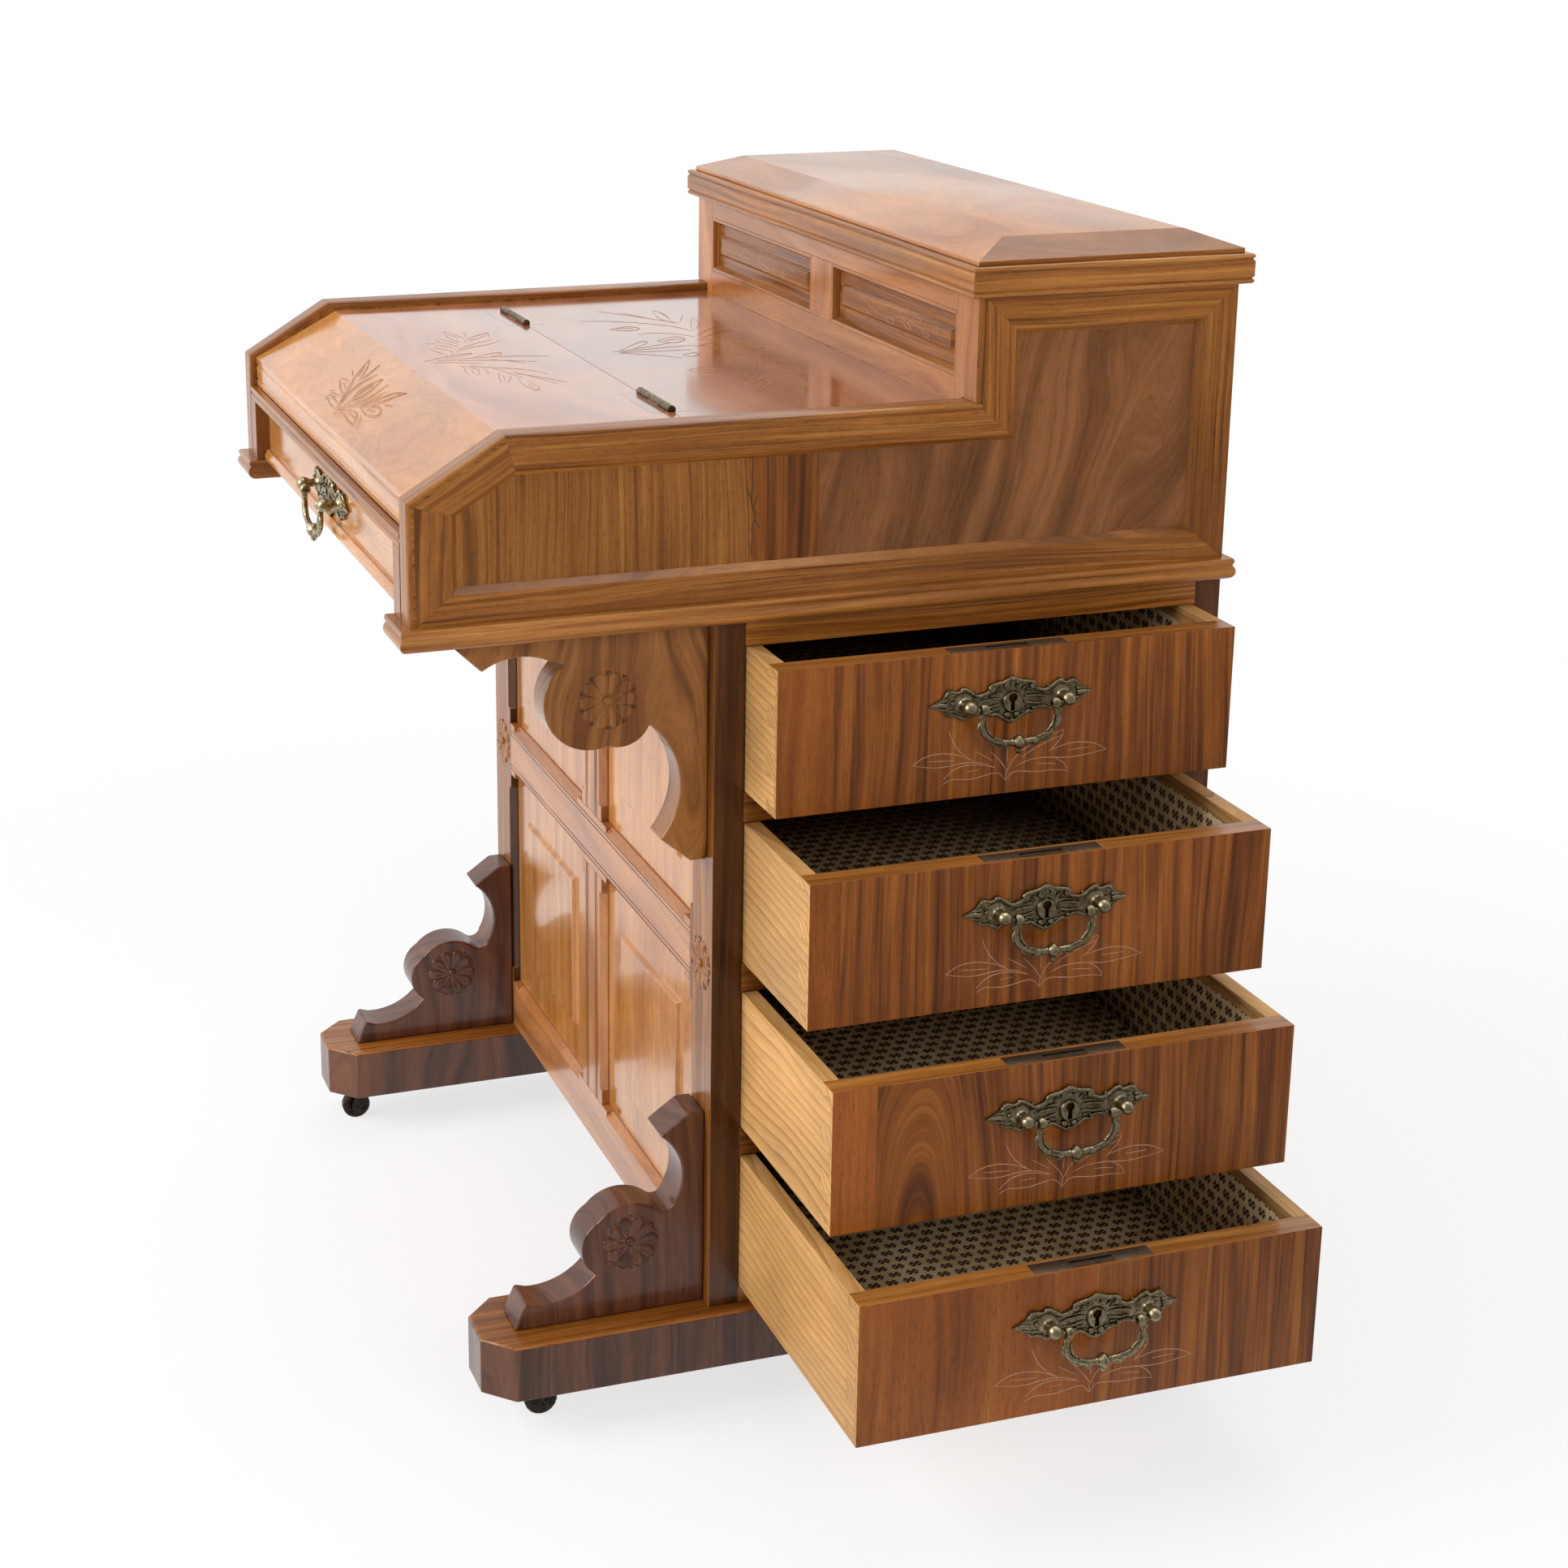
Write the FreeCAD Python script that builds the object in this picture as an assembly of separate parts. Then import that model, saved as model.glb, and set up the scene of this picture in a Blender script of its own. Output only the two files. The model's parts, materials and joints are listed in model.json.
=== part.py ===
import FreeCAD, Part
import math
import os
from FreeCAD import Vector

# A davenport desk in walnut: a sloped writing case with a lidded gallery on a pedestal of four
# drawers, with sledge feet, scroll brackets and castors.
# Millimetres. +Z up, +X towards the drawer side, +Y towards the back. The origin lies on the
# floor under the middle of the writing case. At rest the drawers stand open in steps.

# Driving dimensions of the whole desk
case_width = 620.0
case_depth = 655.0
castor_height = 38.5
foot_thickness = 47.0
drawer_pitch = 139.5
moulding_height = 17.0
slope_foot_height = 92.0
writing_height = 136.5
gallery_height = 216.0
gallery_depth = 217.0
slope_run = 73.0
pedestal_depth = 422.5
lip_height = 7.5

# Clearances between pieces of different bodies
slide_clearance = 0.8
lid_gap = 0.5
flap_gap = 0.8
running_clearance = 0.05
overrun = 20.0

# Side panels: a board with mitred frame members laid on it and a rounded lipping
side_board_thickness = 19.0
side_member_thickness = 6.0
side_front_stile = 32.0
side_slope_rail = 25.0
side_writing_rail = 25.0
side_gallery_stile = 30.0
side_gallery_rail = 30.0
side_back_stile = 33.0
side_bottom_rail = 27.0
side_member_bevel = 5.0
lipping_width = 5.5
lipping_round = 3.5

# Boards inside the writing case
bottom_board_thickness = 12.0
back_board_thickness = 10.0
writing_board_thickness = 15.0
dust_board_thickness = 7.0
flap_drop_share = 0.2
bead_rail_height = 11.0
bead_rail_depth = 26.0
bead_groove = 1.6
case_front_stile = 20.0
drawer_guide_height = 24.0
divider_thickness = 6.0
divider_height_share = 0.72
divider_shares = (-0.25, 0.0, 0.25)

# Gallery front: frame members laid on a board, with two fielded panels
gallery_member_thickness = 6.0
gallery_board_thickness = 12.0
gallery_stile = 37.0
gallery_muntin = 45.0
gallery_top_rail = 16.0
gallery_bottom_rail = 21.0
gallery_moulding_width = 6.0
gallery_field_margin = 9.0
gallery_field_rise = 3.0

# Writing flap
flap_hinge_setback = 224.0
flap_crease_setback = 80.0
flap_front_setback = 6.0
flap_thickness = 14.0
apron_height = 26.0
apron_thickness = 16.0
apron_groove = 1.5

# Lid over the gallery
lid_overhang = 8.5
lid_moulding_height = 23.0
lid_moulding_width = 26.0
lid_bead = 4.0
lid_quirk = 1.6
lid_plate_setback = 6.0
lid_plate_edge = 3.5
lid_bevel_width = 35.0
lid_bevel_rise = 12.5

# Base moulding of the writing case
moulding_projection = 8.5
moulding_return = 46.0
moulding_bead = 5.0
moulding_quirk = 2.0
moulding_chord = 1.8

# Pedestal
post_depth = 24.5
back_post_depth = 21.6
post_width = 51.0
pedestal_rail_thickness = 22.0
front_mid_rail = 52.0
front_mid_height = 287.0
front_bottom_rail = 46.0
front_top_rail = 30.0
front_muntin = 56.0
frame_chamfer = 6.0
chamfer_stop = 14.0
panel_board_thickness = 9.0
panel_setback = 7.0
field_margin = 35.0
field_side_margin = 40.0
field_rise = 3.5
field_slope = 3.0
runner_width = 20.0
pedestal_board_thickness = 14.0
back_panel_thickness = 10.0
back_member_thickness = 6.0
back_member_width = 48.0

# Pedestal drawers
drawer_rail_height = 23.9
drawer_front_thickness = 20.0
drawer_side_thickness = 13.0
drawer_back_thickness = 11.0
drawer_bottom_thickness = 7.0
drawer_bottom_setup = 6.0
drawer_back_drop = 12.0
drawer_length = 500.0
drawer_count = 4
bottom_rail_height = 14.5
top_rail_height = 19.4
drawer_pulls = (242.0, 185.0, 134.0, 64.0)

# Half-blind dovetails that join drawer sides to fronts
tail_count = 3
tail_lap = 4.0
tail_share = 0.66
tail_flare = 3.0

# Drawer in the front of the writing case
front_drawer_recess = 12.0
front_drawer_length = 330.0
front_drawer_thickness = 18.0
front_drawer_strip = 9.0
front_drawer_strip_projection = 5.0
front_drawer_side_thickness = 10.0
front_drawer_bottom_thickness = 5.0
front_drawer_bottom_setup = 4.0

# Handles: a pierced plate with two knobbed posts and a hanging bail
key_drop = 39.5
front_key_rise = 27.0
plate_thickness = 2.5
plate_half_length = 67.5
plate_top = 19.2
plate_bottom = 17.8
post_spacing = 80.5
post_rise = 1.2
bail_axis_drop = 0.8
post_foot_radius = 6.4
post_radius = 4.2
knob_radius = 5.6
knob_tip_radius = 2.6
knob_out = 16.0
knob_length = 10.0
pin_radius = 1.6
pin_overshoot = 2.4
bail_swell = 0.55
bail_drop = 27.8
bail_bar = 5.6
bail_depth = 5.0
eye_radius = 4.4
eye_gap = 2.9
finial_radius = 6.2
finial_length = 12.4
keyhole_radius = 4.3
keyhole_rise = 2.5
keyhole_slot = 4.0
keyhole_drop = 9.6
turned_sides = 8
keyhole_sides = 8
bore_sides = 8

# Drawer locks
lock_plate_length = 97.0
lock_plate_width = 14.0
lock_plate_thickness = 1.6
lock_slot_length = 34.0
lock_slot_width = 4.0
lock_case_length = 58.0
lock_case_height = 34.0
lock_case_depth = 7.0

# Sledge feet
foot_width = 84.0
foot_stand_out = 13.0
foot_front_setback = 46.5
foot_back_setback = 0.0
foot_chamfer = 23.0
foot_edge_bevel = 1.5

# Scroll brackets
lower_bracket_thickness = 36.0
lower_bracket_length = 157.5
lower_bracket_height = 166.0
upper_bracket_thickness = 28.0
upper_bracket_length = 201.0
upper_bracket_height = 190.0
bracket_setback = 12.5
bracket_chamfer = 5.0
bracket_chord = 15.0

# Castors
castor_setback = 41.5
castor_plate_radius = 17.0
castor_plate_thickness = 2.5
castor_pin_radius = 4.0
castor_pin_head = 1.5
castor_crown_radius = 10.0
castor_crown_thickness = 4.0
castor_gap = 0.5
castor_wheel_radius = 13.5
castor_wheel_width = 11.0
castor_cheek_thickness = 3.0
castor_cheek_gap = 0.6
castor_axle_radius = 2.5
castor_trail = 12.0
castor_wheel_bevel = 2.0
castor_plate_sides = 12
castor_wheel_sides = 18
castor_trail_shares = (1, 1, -1, -1)

# Butt hinges of the flap and the lid
hinge_length = 76.0
hinge_leaf_thickness = 1.6
hinge_leaf_width = 16.0
hinge_barrel_radius = 3.2
hinge_pin_radius = 1.5
hinge_barrel_sides = 12
hinge_knuckles = 3
hinge_knuckle_gap = 0.3
hinge_swing_gap = 0.6
flap_hinge_share = 0.69
lid_hinge_share = 0.6

# Places worked out from the driving dimensions
half_width = case_width / 2
front_y = -case_depth / 2
back_y = case_depth / 2
foot_top = castor_height + foot_thickness
drawer_front_height = drawer_pitch - drawer_rail_height - 2 * slide_clearance
lower_drawers_height = (drawer_count - 1) * drawer_pitch
top_drawer_height = drawer_front_height + 2 * slide_clearance
pedestal_height = bottom_rail_height + lower_drawers_height + top_drawer_height + top_rail_height
pedestal_top = foot_top + pedestal_height
case_bottom = pedestal_top + moulding_height
slope_foot_z = case_bottom + slope_foot_height
writing_top = case_bottom + writing_height
case_top = case_bottom + gallery_height
gallery_y = back_y - gallery_depth
pedestal_y = back_y - pedestal_depth
side_thickness = side_board_thickness + side_member_thickness
inner_x = half_width - side_thickness
surface_z = writing_top - lip_height
side_gallery_y = gallery_y + gallery_member_thickness
board_x = half_width - side_member_thickness


def box(x0, x1, y0, y1, z0, z1):
    """A block between two corners."""
    return Part.makeBox(x1 - x0, y1 - y0, z1 - z0, Vector(x0, y0, z0))


def face_of(points):
    """A flat face through corner points."""
    return Part.Face(Part.makePolygon(points + [points[0]]))


def prism_along_x(points, x0, x1):
    """A (y, z) outline drawn out along X."""
    corners = [Vector(x0, y, z) for y, z in points]
    return face_of(corners).extrude(Vector(x1 - x0, 0, 0))


def prism_along_y(points, y0, y1):
    """An (x, z) outline drawn out along Y."""
    corners = [Vector(x, y0, z) for x, z in points]
    return face_of(corners).extrude(Vector(0, y1 - y0, 0))


def prism_along_z(points, z0, z1):
    """An (x, y) outline drawn out along Z."""
    corners = [Vector(x, y, z0) for x, y in points]
    return face_of(corners).extrude(Vector(0, 0, z1 - z0))


def tapered_block(low, high):
    """A solid between two outlines whose matching edges are parallel, such as a bevelled panel."""
    faces = [face_of(low), face_of(high)]
    for i in range(len(low)):
        j = (i + 1) % len(low)
        faces.append(face_of([low[i], low[j], high[j], high[i]]))
    solid = Part.makeSolid(Part.makeShell(faces))
    if solid.Volume < 0:
        solid.reverse()
    return solid


def inset(points, distances):
    """Moves each edge of a clockwise (u, v) outline inwards by its own distance."""
    count = len(points)
    lines = []
    for i in range(count):
        (u0, v0), (u1, v1) = points[i], points[(i + 1) % count]
        length = math.hypot(u1 - u0, v1 - v0)
        du = (u1 - u0) / length
        dv = (v1 - v0) / length
        lines.append((u0 + dv * distances[i], v0 - du * distances[i], du, dv))
    moved = []
    for i in range(count):
        u0, v0, du0, dv0 = lines[i - 1]
        u1, v1, du1, dv1 = lines[i]
        cross = du0 * dv1 - dv0 * du1
        along = ((u1 - u0) * dv1 - (v1 - v0) * du1) / cross
        moved.append((u0 + du0 * along, v0 + dv0 * along))
    return moved


def chords(start, steps, longest):
    """Corner points along straight and arched steps; each arch becomes a run of short chords.

    Each step is (end,) or (middle, end), and the last one ends where the first one starts.
    """
    points = [start]
    for step in steps:
        end = step[-1]
        if len(step) == 2:
            here = Vector(points[-1][0], points[-1][1], 0)
            middle = Vector(step[0][0], step[0][1], 0)
            arch = Part.Arc(here, middle, Vector(end[0], end[1], 0)).toShape()
            count = max(2, math.ceil(arch.Length / longest))
            points.extend((p.x, p.y) for p in arch.discretize(count + 1)[1:-1])
        points.append(end)
    return points[:-1]


def cylinder(radius, length, base, axis):
    """A round bar from its base along an axis."""
    return Part.makeCylinder(radius, length, base, axis)


def both_sides(solid):
    """A solid of the drawer side and its mirror image on the other side."""
    return [solid, solid.mirror(Vector(0, 0, 0), Vector(1, 0, 0))]


def solids_of(shapes):
    """Every separate solid in a list of shapes."""
    found = []
    for shape in shapes:
        found.extend(shape.Solids)
    return found


def export(name, shapes):
    """Writes one node as a STEP file."""
    solids = solids_of(shapes)
    shape = solids[0] if len(solids) == 1 else Part.makeCompound(solids)
    shape.exportStep("parts/" + name + ".step")


def mitred_members(outline, widths, bevel, thickness):
    """Frame members in a local (u, v) plane: the ring between an outline and its inset, mitred.

    Each member lies from w = 0 to its thickness, and its inner edge is bevelled.
    """
    inner = inset(outline, widths)
    crest = inset(outline, [w - bevel for w in widths])
    low = [Vector(u, v, 0) for u, v in outline]
    blank = face_of(low).extrude(Vector(0, 0, thickness))
    opening = tapered_block(
        [Vector(u, v, 0) for u, v in inner],
        [Vector(u, v, thickness) for u, v in crest],
    )
    ring = blank.cut(opening)
    members = []
    for i in range(len(outline)):
        j = (i + 1) % len(outline)
        wedge = [outline[i], outline[j], inner[j], inner[i]]
        corners = [Vector(u, v, 0) for u, v in wedge]
        members.append(ring.common(face_of(corners).extrude(Vector(0, 0, thickness))))
    return members


def stand_up(shape, x_axis, y_axis, z_axis, origin):
    """Turns a shape from its own (u, v, w) frame to the desk's frame."""
    matrix = FreeCAD.Matrix(
        x_axis.x, y_axis.x, z_axis.x, origin.x,
        x_axis.y, y_axis.y, z_axis.y, origin.y,
        x_axis.z, y_axis.z, z_axis.z, origin.z,
        0, 0, 0, 1,
    )
    return shape.transformed(matrix)


X = Vector(1, 0, 0)
Y = Vector(0, 1, 0)
Z = Vector(0, 0, 1)
ORIGIN = Vector(0, 0, 0)


def side_outline():
    """The writing case's side seen from the drawer side, as (y, z), clockwise from below the front."""
    return [
        (front_y, case_bottom),
        (front_y, slope_foot_z),
        (front_y + slope_run, writing_top),
        (side_gallery_y, writing_top),
        (side_gallery_y, case_top),
        (back_y, case_top),
        (back_y, case_bottom),
    ]


def make_sides():
    """Side boards, their mitred frame members and the rounded lippings of the open edges."""
    lipped = [lipping_width, lipping_width, lipping_width, 0, 0, 0, 0]
    core = inset(side_outline(), lipped)
    board = prism_along_x(core, inner_x, board_x)
    widths = [
        side_front_stile, side_slope_rail, side_writing_rail, side_gallery_stile,
        side_gallery_rail, side_back_stile, side_bottom_rail,
    ]
    members = mitred_members(core, widths, side_member_bevel, side_member_thickness)
    placed = [stand_up(m, Y, Z, X, Vector(board_x, 0, 0)) for m in members]
    outer = side_outline()
    strip = outer[0:4] + [(core[3][0], core[3][1]), core[2], core[1], core[0]]
    lipping = prism_along_x(strip, inner_x, half_width)
    rounded = []
    for edge in lipping.Edges:
        a, b = edge.Vertexes[0].Point, edge.Vertexes[-1].Point
        across = abs(a.x - b.x) > lipping_round
        on_outline = all(
            any(abs(p.y - y) + abs(p.z - z) < lipping_round / 2 for y, z in outer[0:4])
            for p in (a, b)
        )
        if on_outline and not across:
            rounded.append(edge)
    lipping = lipping.makeFillet(lipping_round, rounded)
    export("case_sides", both_sides(board))
    frames = []
    for piece in placed + [lipping]:
        frames.extend(both_sides(piece))
    export("side_frames", frames)


def make_case_boards():
    """Bottom, back, dust board, writing board and the small front members of the case."""
    bottom_top = case_bottom + bottom_board_thickness
    back_inner = back_y - side_member_thickness - back_board_thickness
    bottom = box(-inner_x, inner_x, drawer_stop_y(), back_inner, case_bottom, bottom_top)
    dust_z = apron_bottom() - bead_rail_height
    rail_back = front_y + bead_rail_depth
    dust = box(-inner_x, inner_x, rail_back, back_inner, dust_z, dust_z + dust_board_thickness)
    guide = box(
        inner_x - case_front_stile, inner_x, front_y + case_front_stile, back_inner,
        bottom_top, bottom_top + drawer_guide_height,
    )
    floor_z = surface_z - writing_board_thickness
    gallery_floor = box(-inner_x, inner_x, gallery_y, back_inner, floor_z, surface_z)
    export("case_boards", [bottom, dust, gallery_floor] + both_sides(guide))

    rail = box(-inner_x, inner_x, front_y, rail_back, dust_z, dust_z + bead_rail_height)
    groove_z = dust_z + bead_rail_height / 2
    groove = prism_along_x(
        [
            (front_y, groove_z - bead_groove),
            (front_y, groove_z + bead_groove),
            (front_y + bead_groove, groove_z),
        ],
        -inner_x,
        inner_x,
    )
    stile = box(
        inner_x - case_front_stile, inner_x, front_y, front_y + case_front_stile, case_bottom, dust_z
    )
    export("case_front_members", [rail.cut(groove)] + both_sides(stile))

    outline = [
        (-inner_x, case_bottom), (-inner_x, case_top), (inner_x, case_top), (inner_x, case_bottom),
    ]
    board = prism_along_y(outline, back_inner, back_inner + back_board_thickness)
    widths = [back_member_width, side_gallery_rail, back_member_width, side_bottom_rail]
    members = mitred_members(outline, widths, side_member_bevel, back_member_thickness)
    face_y = back_inner + back_board_thickness
    placed = [stand_up(m, X, Z, Y, Vector(0, face_y, 0)) for m in members]
    export("case_back", [board] + placed)

    hinge_y = front_y + flap_hinge_setback
    writing = box(-inner_x, inner_x, hinge_y, gallery_y, floor_z, surface_z)
    writing = writing.cut(Part.makeCompound(hinge_recesses(hinge_y, 1)))
    export("rear_writing_board", [writing])

    gallery_back = gallery_y + gallery_member_thickness + gallery_board_thickness
    divider_top = surface_z + (case_top - surface_z) * divider_height_share
    dividers = []
    for share in divider_shares:
        middle = share * 2 * inner_x
        dividers.append(
            box(
                middle - divider_thickness / 2, middle + divider_thickness / 2,
                gallery_back, back_inner, surface_z, divider_top,
            )
        )
    export("stationery_dividers", dividers)


def drawer_stop_y():
    """The front edge of the case's bottom board, just behind the closed front drawer's front."""
    return front_y + front_drawer_recess + front_drawer_thickness + slide_clearance


def apron_bottom():
    """The height of the flap's lower edge, where the bead rail begins."""
    return slope_foot_z - flap_front_drop() - apron_height


def flap_front_drop():
    """How far the flap's surface lies below the side panel's corner at the front."""
    return lip_height * flap_drop_share


def make_gallery_front():
    """The gallery's front: a board, mitred stiles and rails, and two fielded panels."""
    z0 = surface_z
    face_y = gallery_y + gallery_member_thickness
    board = box(-inner_x, inner_x, face_y, face_y + gallery_board_thickness, z0, case_top)
    z_low = z0 + gallery_bottom_rail
    z_high = case_top - gallery_top_rail
    x_in = gallery_muntin / 2
    x_out = half_width - gallery_stile
    stile = box(x_out, half_width, gallery_y, face_y, writing_top, case_top)
    foot = box(x_out, inner_x, gallery_y, face_y, z0, writing_top)
    pieces = both_sides(stile.fuse(foot).removeSplitter())
    pieces.append(box(-x_out, x_out, gallery_y, face_y, z_high, case_top))
    pieces.append(box(-x_out, x_out, gallery_y, face_y, z0, z_low))
    pieces.append(box(-x_in, x_in, gallery_y, face_y, z_low, z_high))

    opening = [(x_in, z_low), (x_in, z_high), (x_out, z_high), (x_out, z_low)]
    width = gallery_moulding_width
    slips = mitred_members(opening, [width] * 4, width / 2, gallery_member_thickness)
    inner = inset(opening, [width] * 4)
    field_low = inset(inner, [gallery_field_margin] * 4)
    field_high = inset(field_low, [gallery_field_rise] * 4)
    field = tapered_block(
        [Vector(x, face_y, z) for x, z in field_low],
        [Vector(x, face_y - gallery_field_rise, z) for x, z in field_high],
    )
    for slip in slips:
        placed = stand_up(slip, X, Z, Vector(0, -1, 0), Vector(0, face_y, 0))
        pieces.extend(both_sides(placed))
    pieces.extend(both_sides(field))
    export("gallery_front", [board] + pieces)


def bead_profile(projection, height, bead, quirk, depth):
    """A moulding's section as steps from its inner lower corner: a bead above a torus.

    The section is (out, up), where out is measured from the face that the moulding stands on.
    """
    low = height - bead
    out = projection
    start = (-depth, 0)
    steps = [
        ((out - low / 2, 0),),
        ((out, low / 2), (out - quirk, low - quirk / 2)),
        ((out - quirk, low),),
        ((out - quirk / 2, height - bead / 2), (out - quirk, height)),
        ((-depth, height),),
        (start,),
    ]
    return start, steps


def lid_profile():
    """The lid moulding's section: a bead below and above a flat face."""
    out = lid_overhang
    top = lid_moulding_height
    inner = out - lid_moulding_width
    start = (inner, 0)
    steps = [
        ((out - lid_quirk, 0),),
        ((out, lid_bead / 2), (out - lid_quirk, lid_bead)),
        ((out, lid_bead + lid_quirk),),
        ((out, top - lid_bead - lid_quirk),),
        ((out - lid_quirk, top - lid_bead),),
        ((out, top - lid_bead / 2), (out - lid_quirk, top)),
        ((inner, top),),
        (start,),
    ]
    return start, steps


def moulding_run(profile, length, base_z, mitre_start, mitre_end):
    """A moulding along +X from 0 to its length, with its outward side towards -Y.

    A mitred end is cut at 45 degrees so that it meets its neighbour at an outside corner.
    """
    start, steps = profile
    section = [(-out, base_z + up) for out, up in chords(start, steps, moulding_chord)]
    run = prism_along_x(section, -overrun, length + overrun)
    reach = lid_moulding_width + overrun + post_width
    z0 = base_z - overrun
    z1 = base_z + lid_moulding_height + overrun
    if mitre_start:
        points = [(-reach, -reach), (-2 * reach, -reach), (-2 * reach, 2 * reach), (2 * reach, 2 * reach)]
    else:
        points = [(0, -2 * reach), (-2 * reach, -2 * reach), (-2 * reach, 2 * reach), (0, 2 * reach)]
    run = run.cut(prism_along_z(points, z0, z1))
    if mitre_end:
        points = [(reach, -reach), (2 * reach, -reach), (2 * reach, 2 * reach), (-2 * reach, 2 * reach)]
    else:
        points = [(0, -2 * reach), (2 * reach, -2 * reach), (2 * reach, 2 * reach), (0, 2 * reach)]
    points = [(x + length, y) for x, y in points]
    return run.cut(prism_along_z(points, z0, z1))


def place_run(run, corner, heading):
    """Turns a moulding run to its heading in degrees and sets its start at a corner."""
    placed = run.copy()
    placed.rotate(ORIGIN, Z, heading)
    placed.translate(corner)
    return placed


def make_base_moulding():
    """The moulding round the foot of the case, mitred, with short returns at the front."""
    profile = bead_profile(
        moulding_projection, moulding_height, moulding_bead, moulding_quirk, side_thickness
    )
    z = pedestal_top
    side = moulding_run(profile, case_depth, z, True, True)
    back = moulding_run(profile, case_width, z, True, True)
    front = moulding_run(profile, moulding_return, z, False, True)
    runs = both_sides(place_run(side, Vector(half_width, front_y, 0), 90))
    runs.append(place_run(back, Vector(half_width, back_y, 0), 180))
    runs.extend(both_sides(place_run(front, Vector(half_width - moulding_return, front_y, 0), 0)))
    export("base_moulding", runs)


def make_lid():
    """The lid: a mitred moulding frame under a board with a wide bevel on all four sides."""
    z0 = case_top + lid_gap
    depth = back_y - gallery_y
    profile = lid_profile()
    side = moulding_run(profile, depth, z0, True, True)
    long = moulding_run(profile, case_width, z0, True, True)
    frame = both_sides(place_run(side, Vector(half_width, gallery_y, 0), 90))
    frame.append(place_run(long, Vector(half_width, back_y, 0), 180))
    frame.append(place_run(long, Vector(-half_width, gallery_y, 0), 0))
    pockets = Part.makeCompound(lid_hinge_pockets(z0))
    frame = [piece.cut(pockets) for piece in frame]
    export("lid_moulding", frame)

    out = lid_overhang - lid_plate_setback
    z1 = z0 + lid_moulding_height
    z2 = z1 + lid_plate_edge
    plan = [
        (-half_width - out, gallery_y - out),
        (-half_width - out, back_y + out),
        (half_width + out, back_y + out),
        (half_width + out, gallery_y - out),
    ]
    crest = inset(plan, [lid_bevel_width] * 4)
    plate = prism_along_z(plan, z1, z2)
    top = tapered_block(
        [Vector(x, y, z2) for x, y in plan],
        [Vector(x, y, z2 + lid_bevel_rise) for x, y in crest],
    )
    export("lid_top", [plate.fuse(top).removeSplitter()])


def knuckle_spans(start_x, mine):
    """The stretches of a hinge's knuckles along X: the outer ones (mine 0) or the middle one (1)."""
    pitch = hinge_length / hinge_knuckles
    spans = []
    for k in range(mine, hinge_knuckles, 2):
        x0 = start_x + k * pitch
        x1 = x0 + pitch
        if k > 0:
            x0 += hinge_knuckle_gap / 2
        if k < hinge_knuckles - 1:
            x1 -= hinge_knuckle_gap / 2
        spans.append((x0, x1))
    return spans


def hinge_half(axis_y, axis_z, middle_x, mine, leaf_box):
    """One half of a butt hinge: its knuckles joined to a leaf. leaf_box(x0, x1) makes leaf metal."""
    start_x = middle_x - hinge_length / 2
    swing = hinge_barrel_radius + hinge_swing_gap
    half = leaf_box(start_x, start_x + hinge_length)
    half = half.cut(cylinder(swing, hinge_length, Vector(start_x, axis_y, axis_z), X))
    for x0, x1 in knuckle_spans(start_x, mine):
        start = Vector(x0, axis_y, axis_z)
        barrel = turned(
            [(0, hinge_barrel_radius), (x1 - x0, hinge_barrel_radius)], hinge_barrel_sides,
            start, X, Y,
        )
        half = half.fuse(leaf_box(x0, x1)).fuse(barrel)
        if mine == 1:
            half = half.cut(bore(hinge_pin_radius, x1 - x0, start, X, Y))
    if mine == 0:
        start = Vector(start_x, axis_y, axis_z)
        half = half.fuse(cylinder(hinge_pin_radius, hinge_length, start, X))
    return half.removeSplitter()


def flap_axis():
    """The flap hinge's axis as (y, z): the barrel stands half proud of the writing surface."""
    return front_y + flap_hinge_setback, surface_z + hinge_barrel_radius / 2


def hinge_recesses(hinge_y, side):
    """Recesses for the flap hinges in the board behind (side 1) or in front (side -1) of the joint."""
    recesses = []
    swing = hinge_barrel_radius + hinge_swing_gap
    axis_y, axis_z = flap_axis()
    for sign in (-1, 1):
        middle = sign * flap_hinge_share * inner_x
        x0 = middle - hinge_length / 2 - hinge_knuckle_gap
        x1 = middle + hinge_length / 2 + hinge_knuckle_gap
        low, high = sorted((hinge_y - side * overrun, hinge_y + side * hinge_leaf_width))
        z0 = surface_z - hinge_leaf_thickness
        recesses.append(box(x0, x1, low, high, z0, surface_z + overrun))
        recesses.append(cylinder(swing, x1 - x0, Vector(x0, axis_y, axis_z), X))
    return recesses


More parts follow.
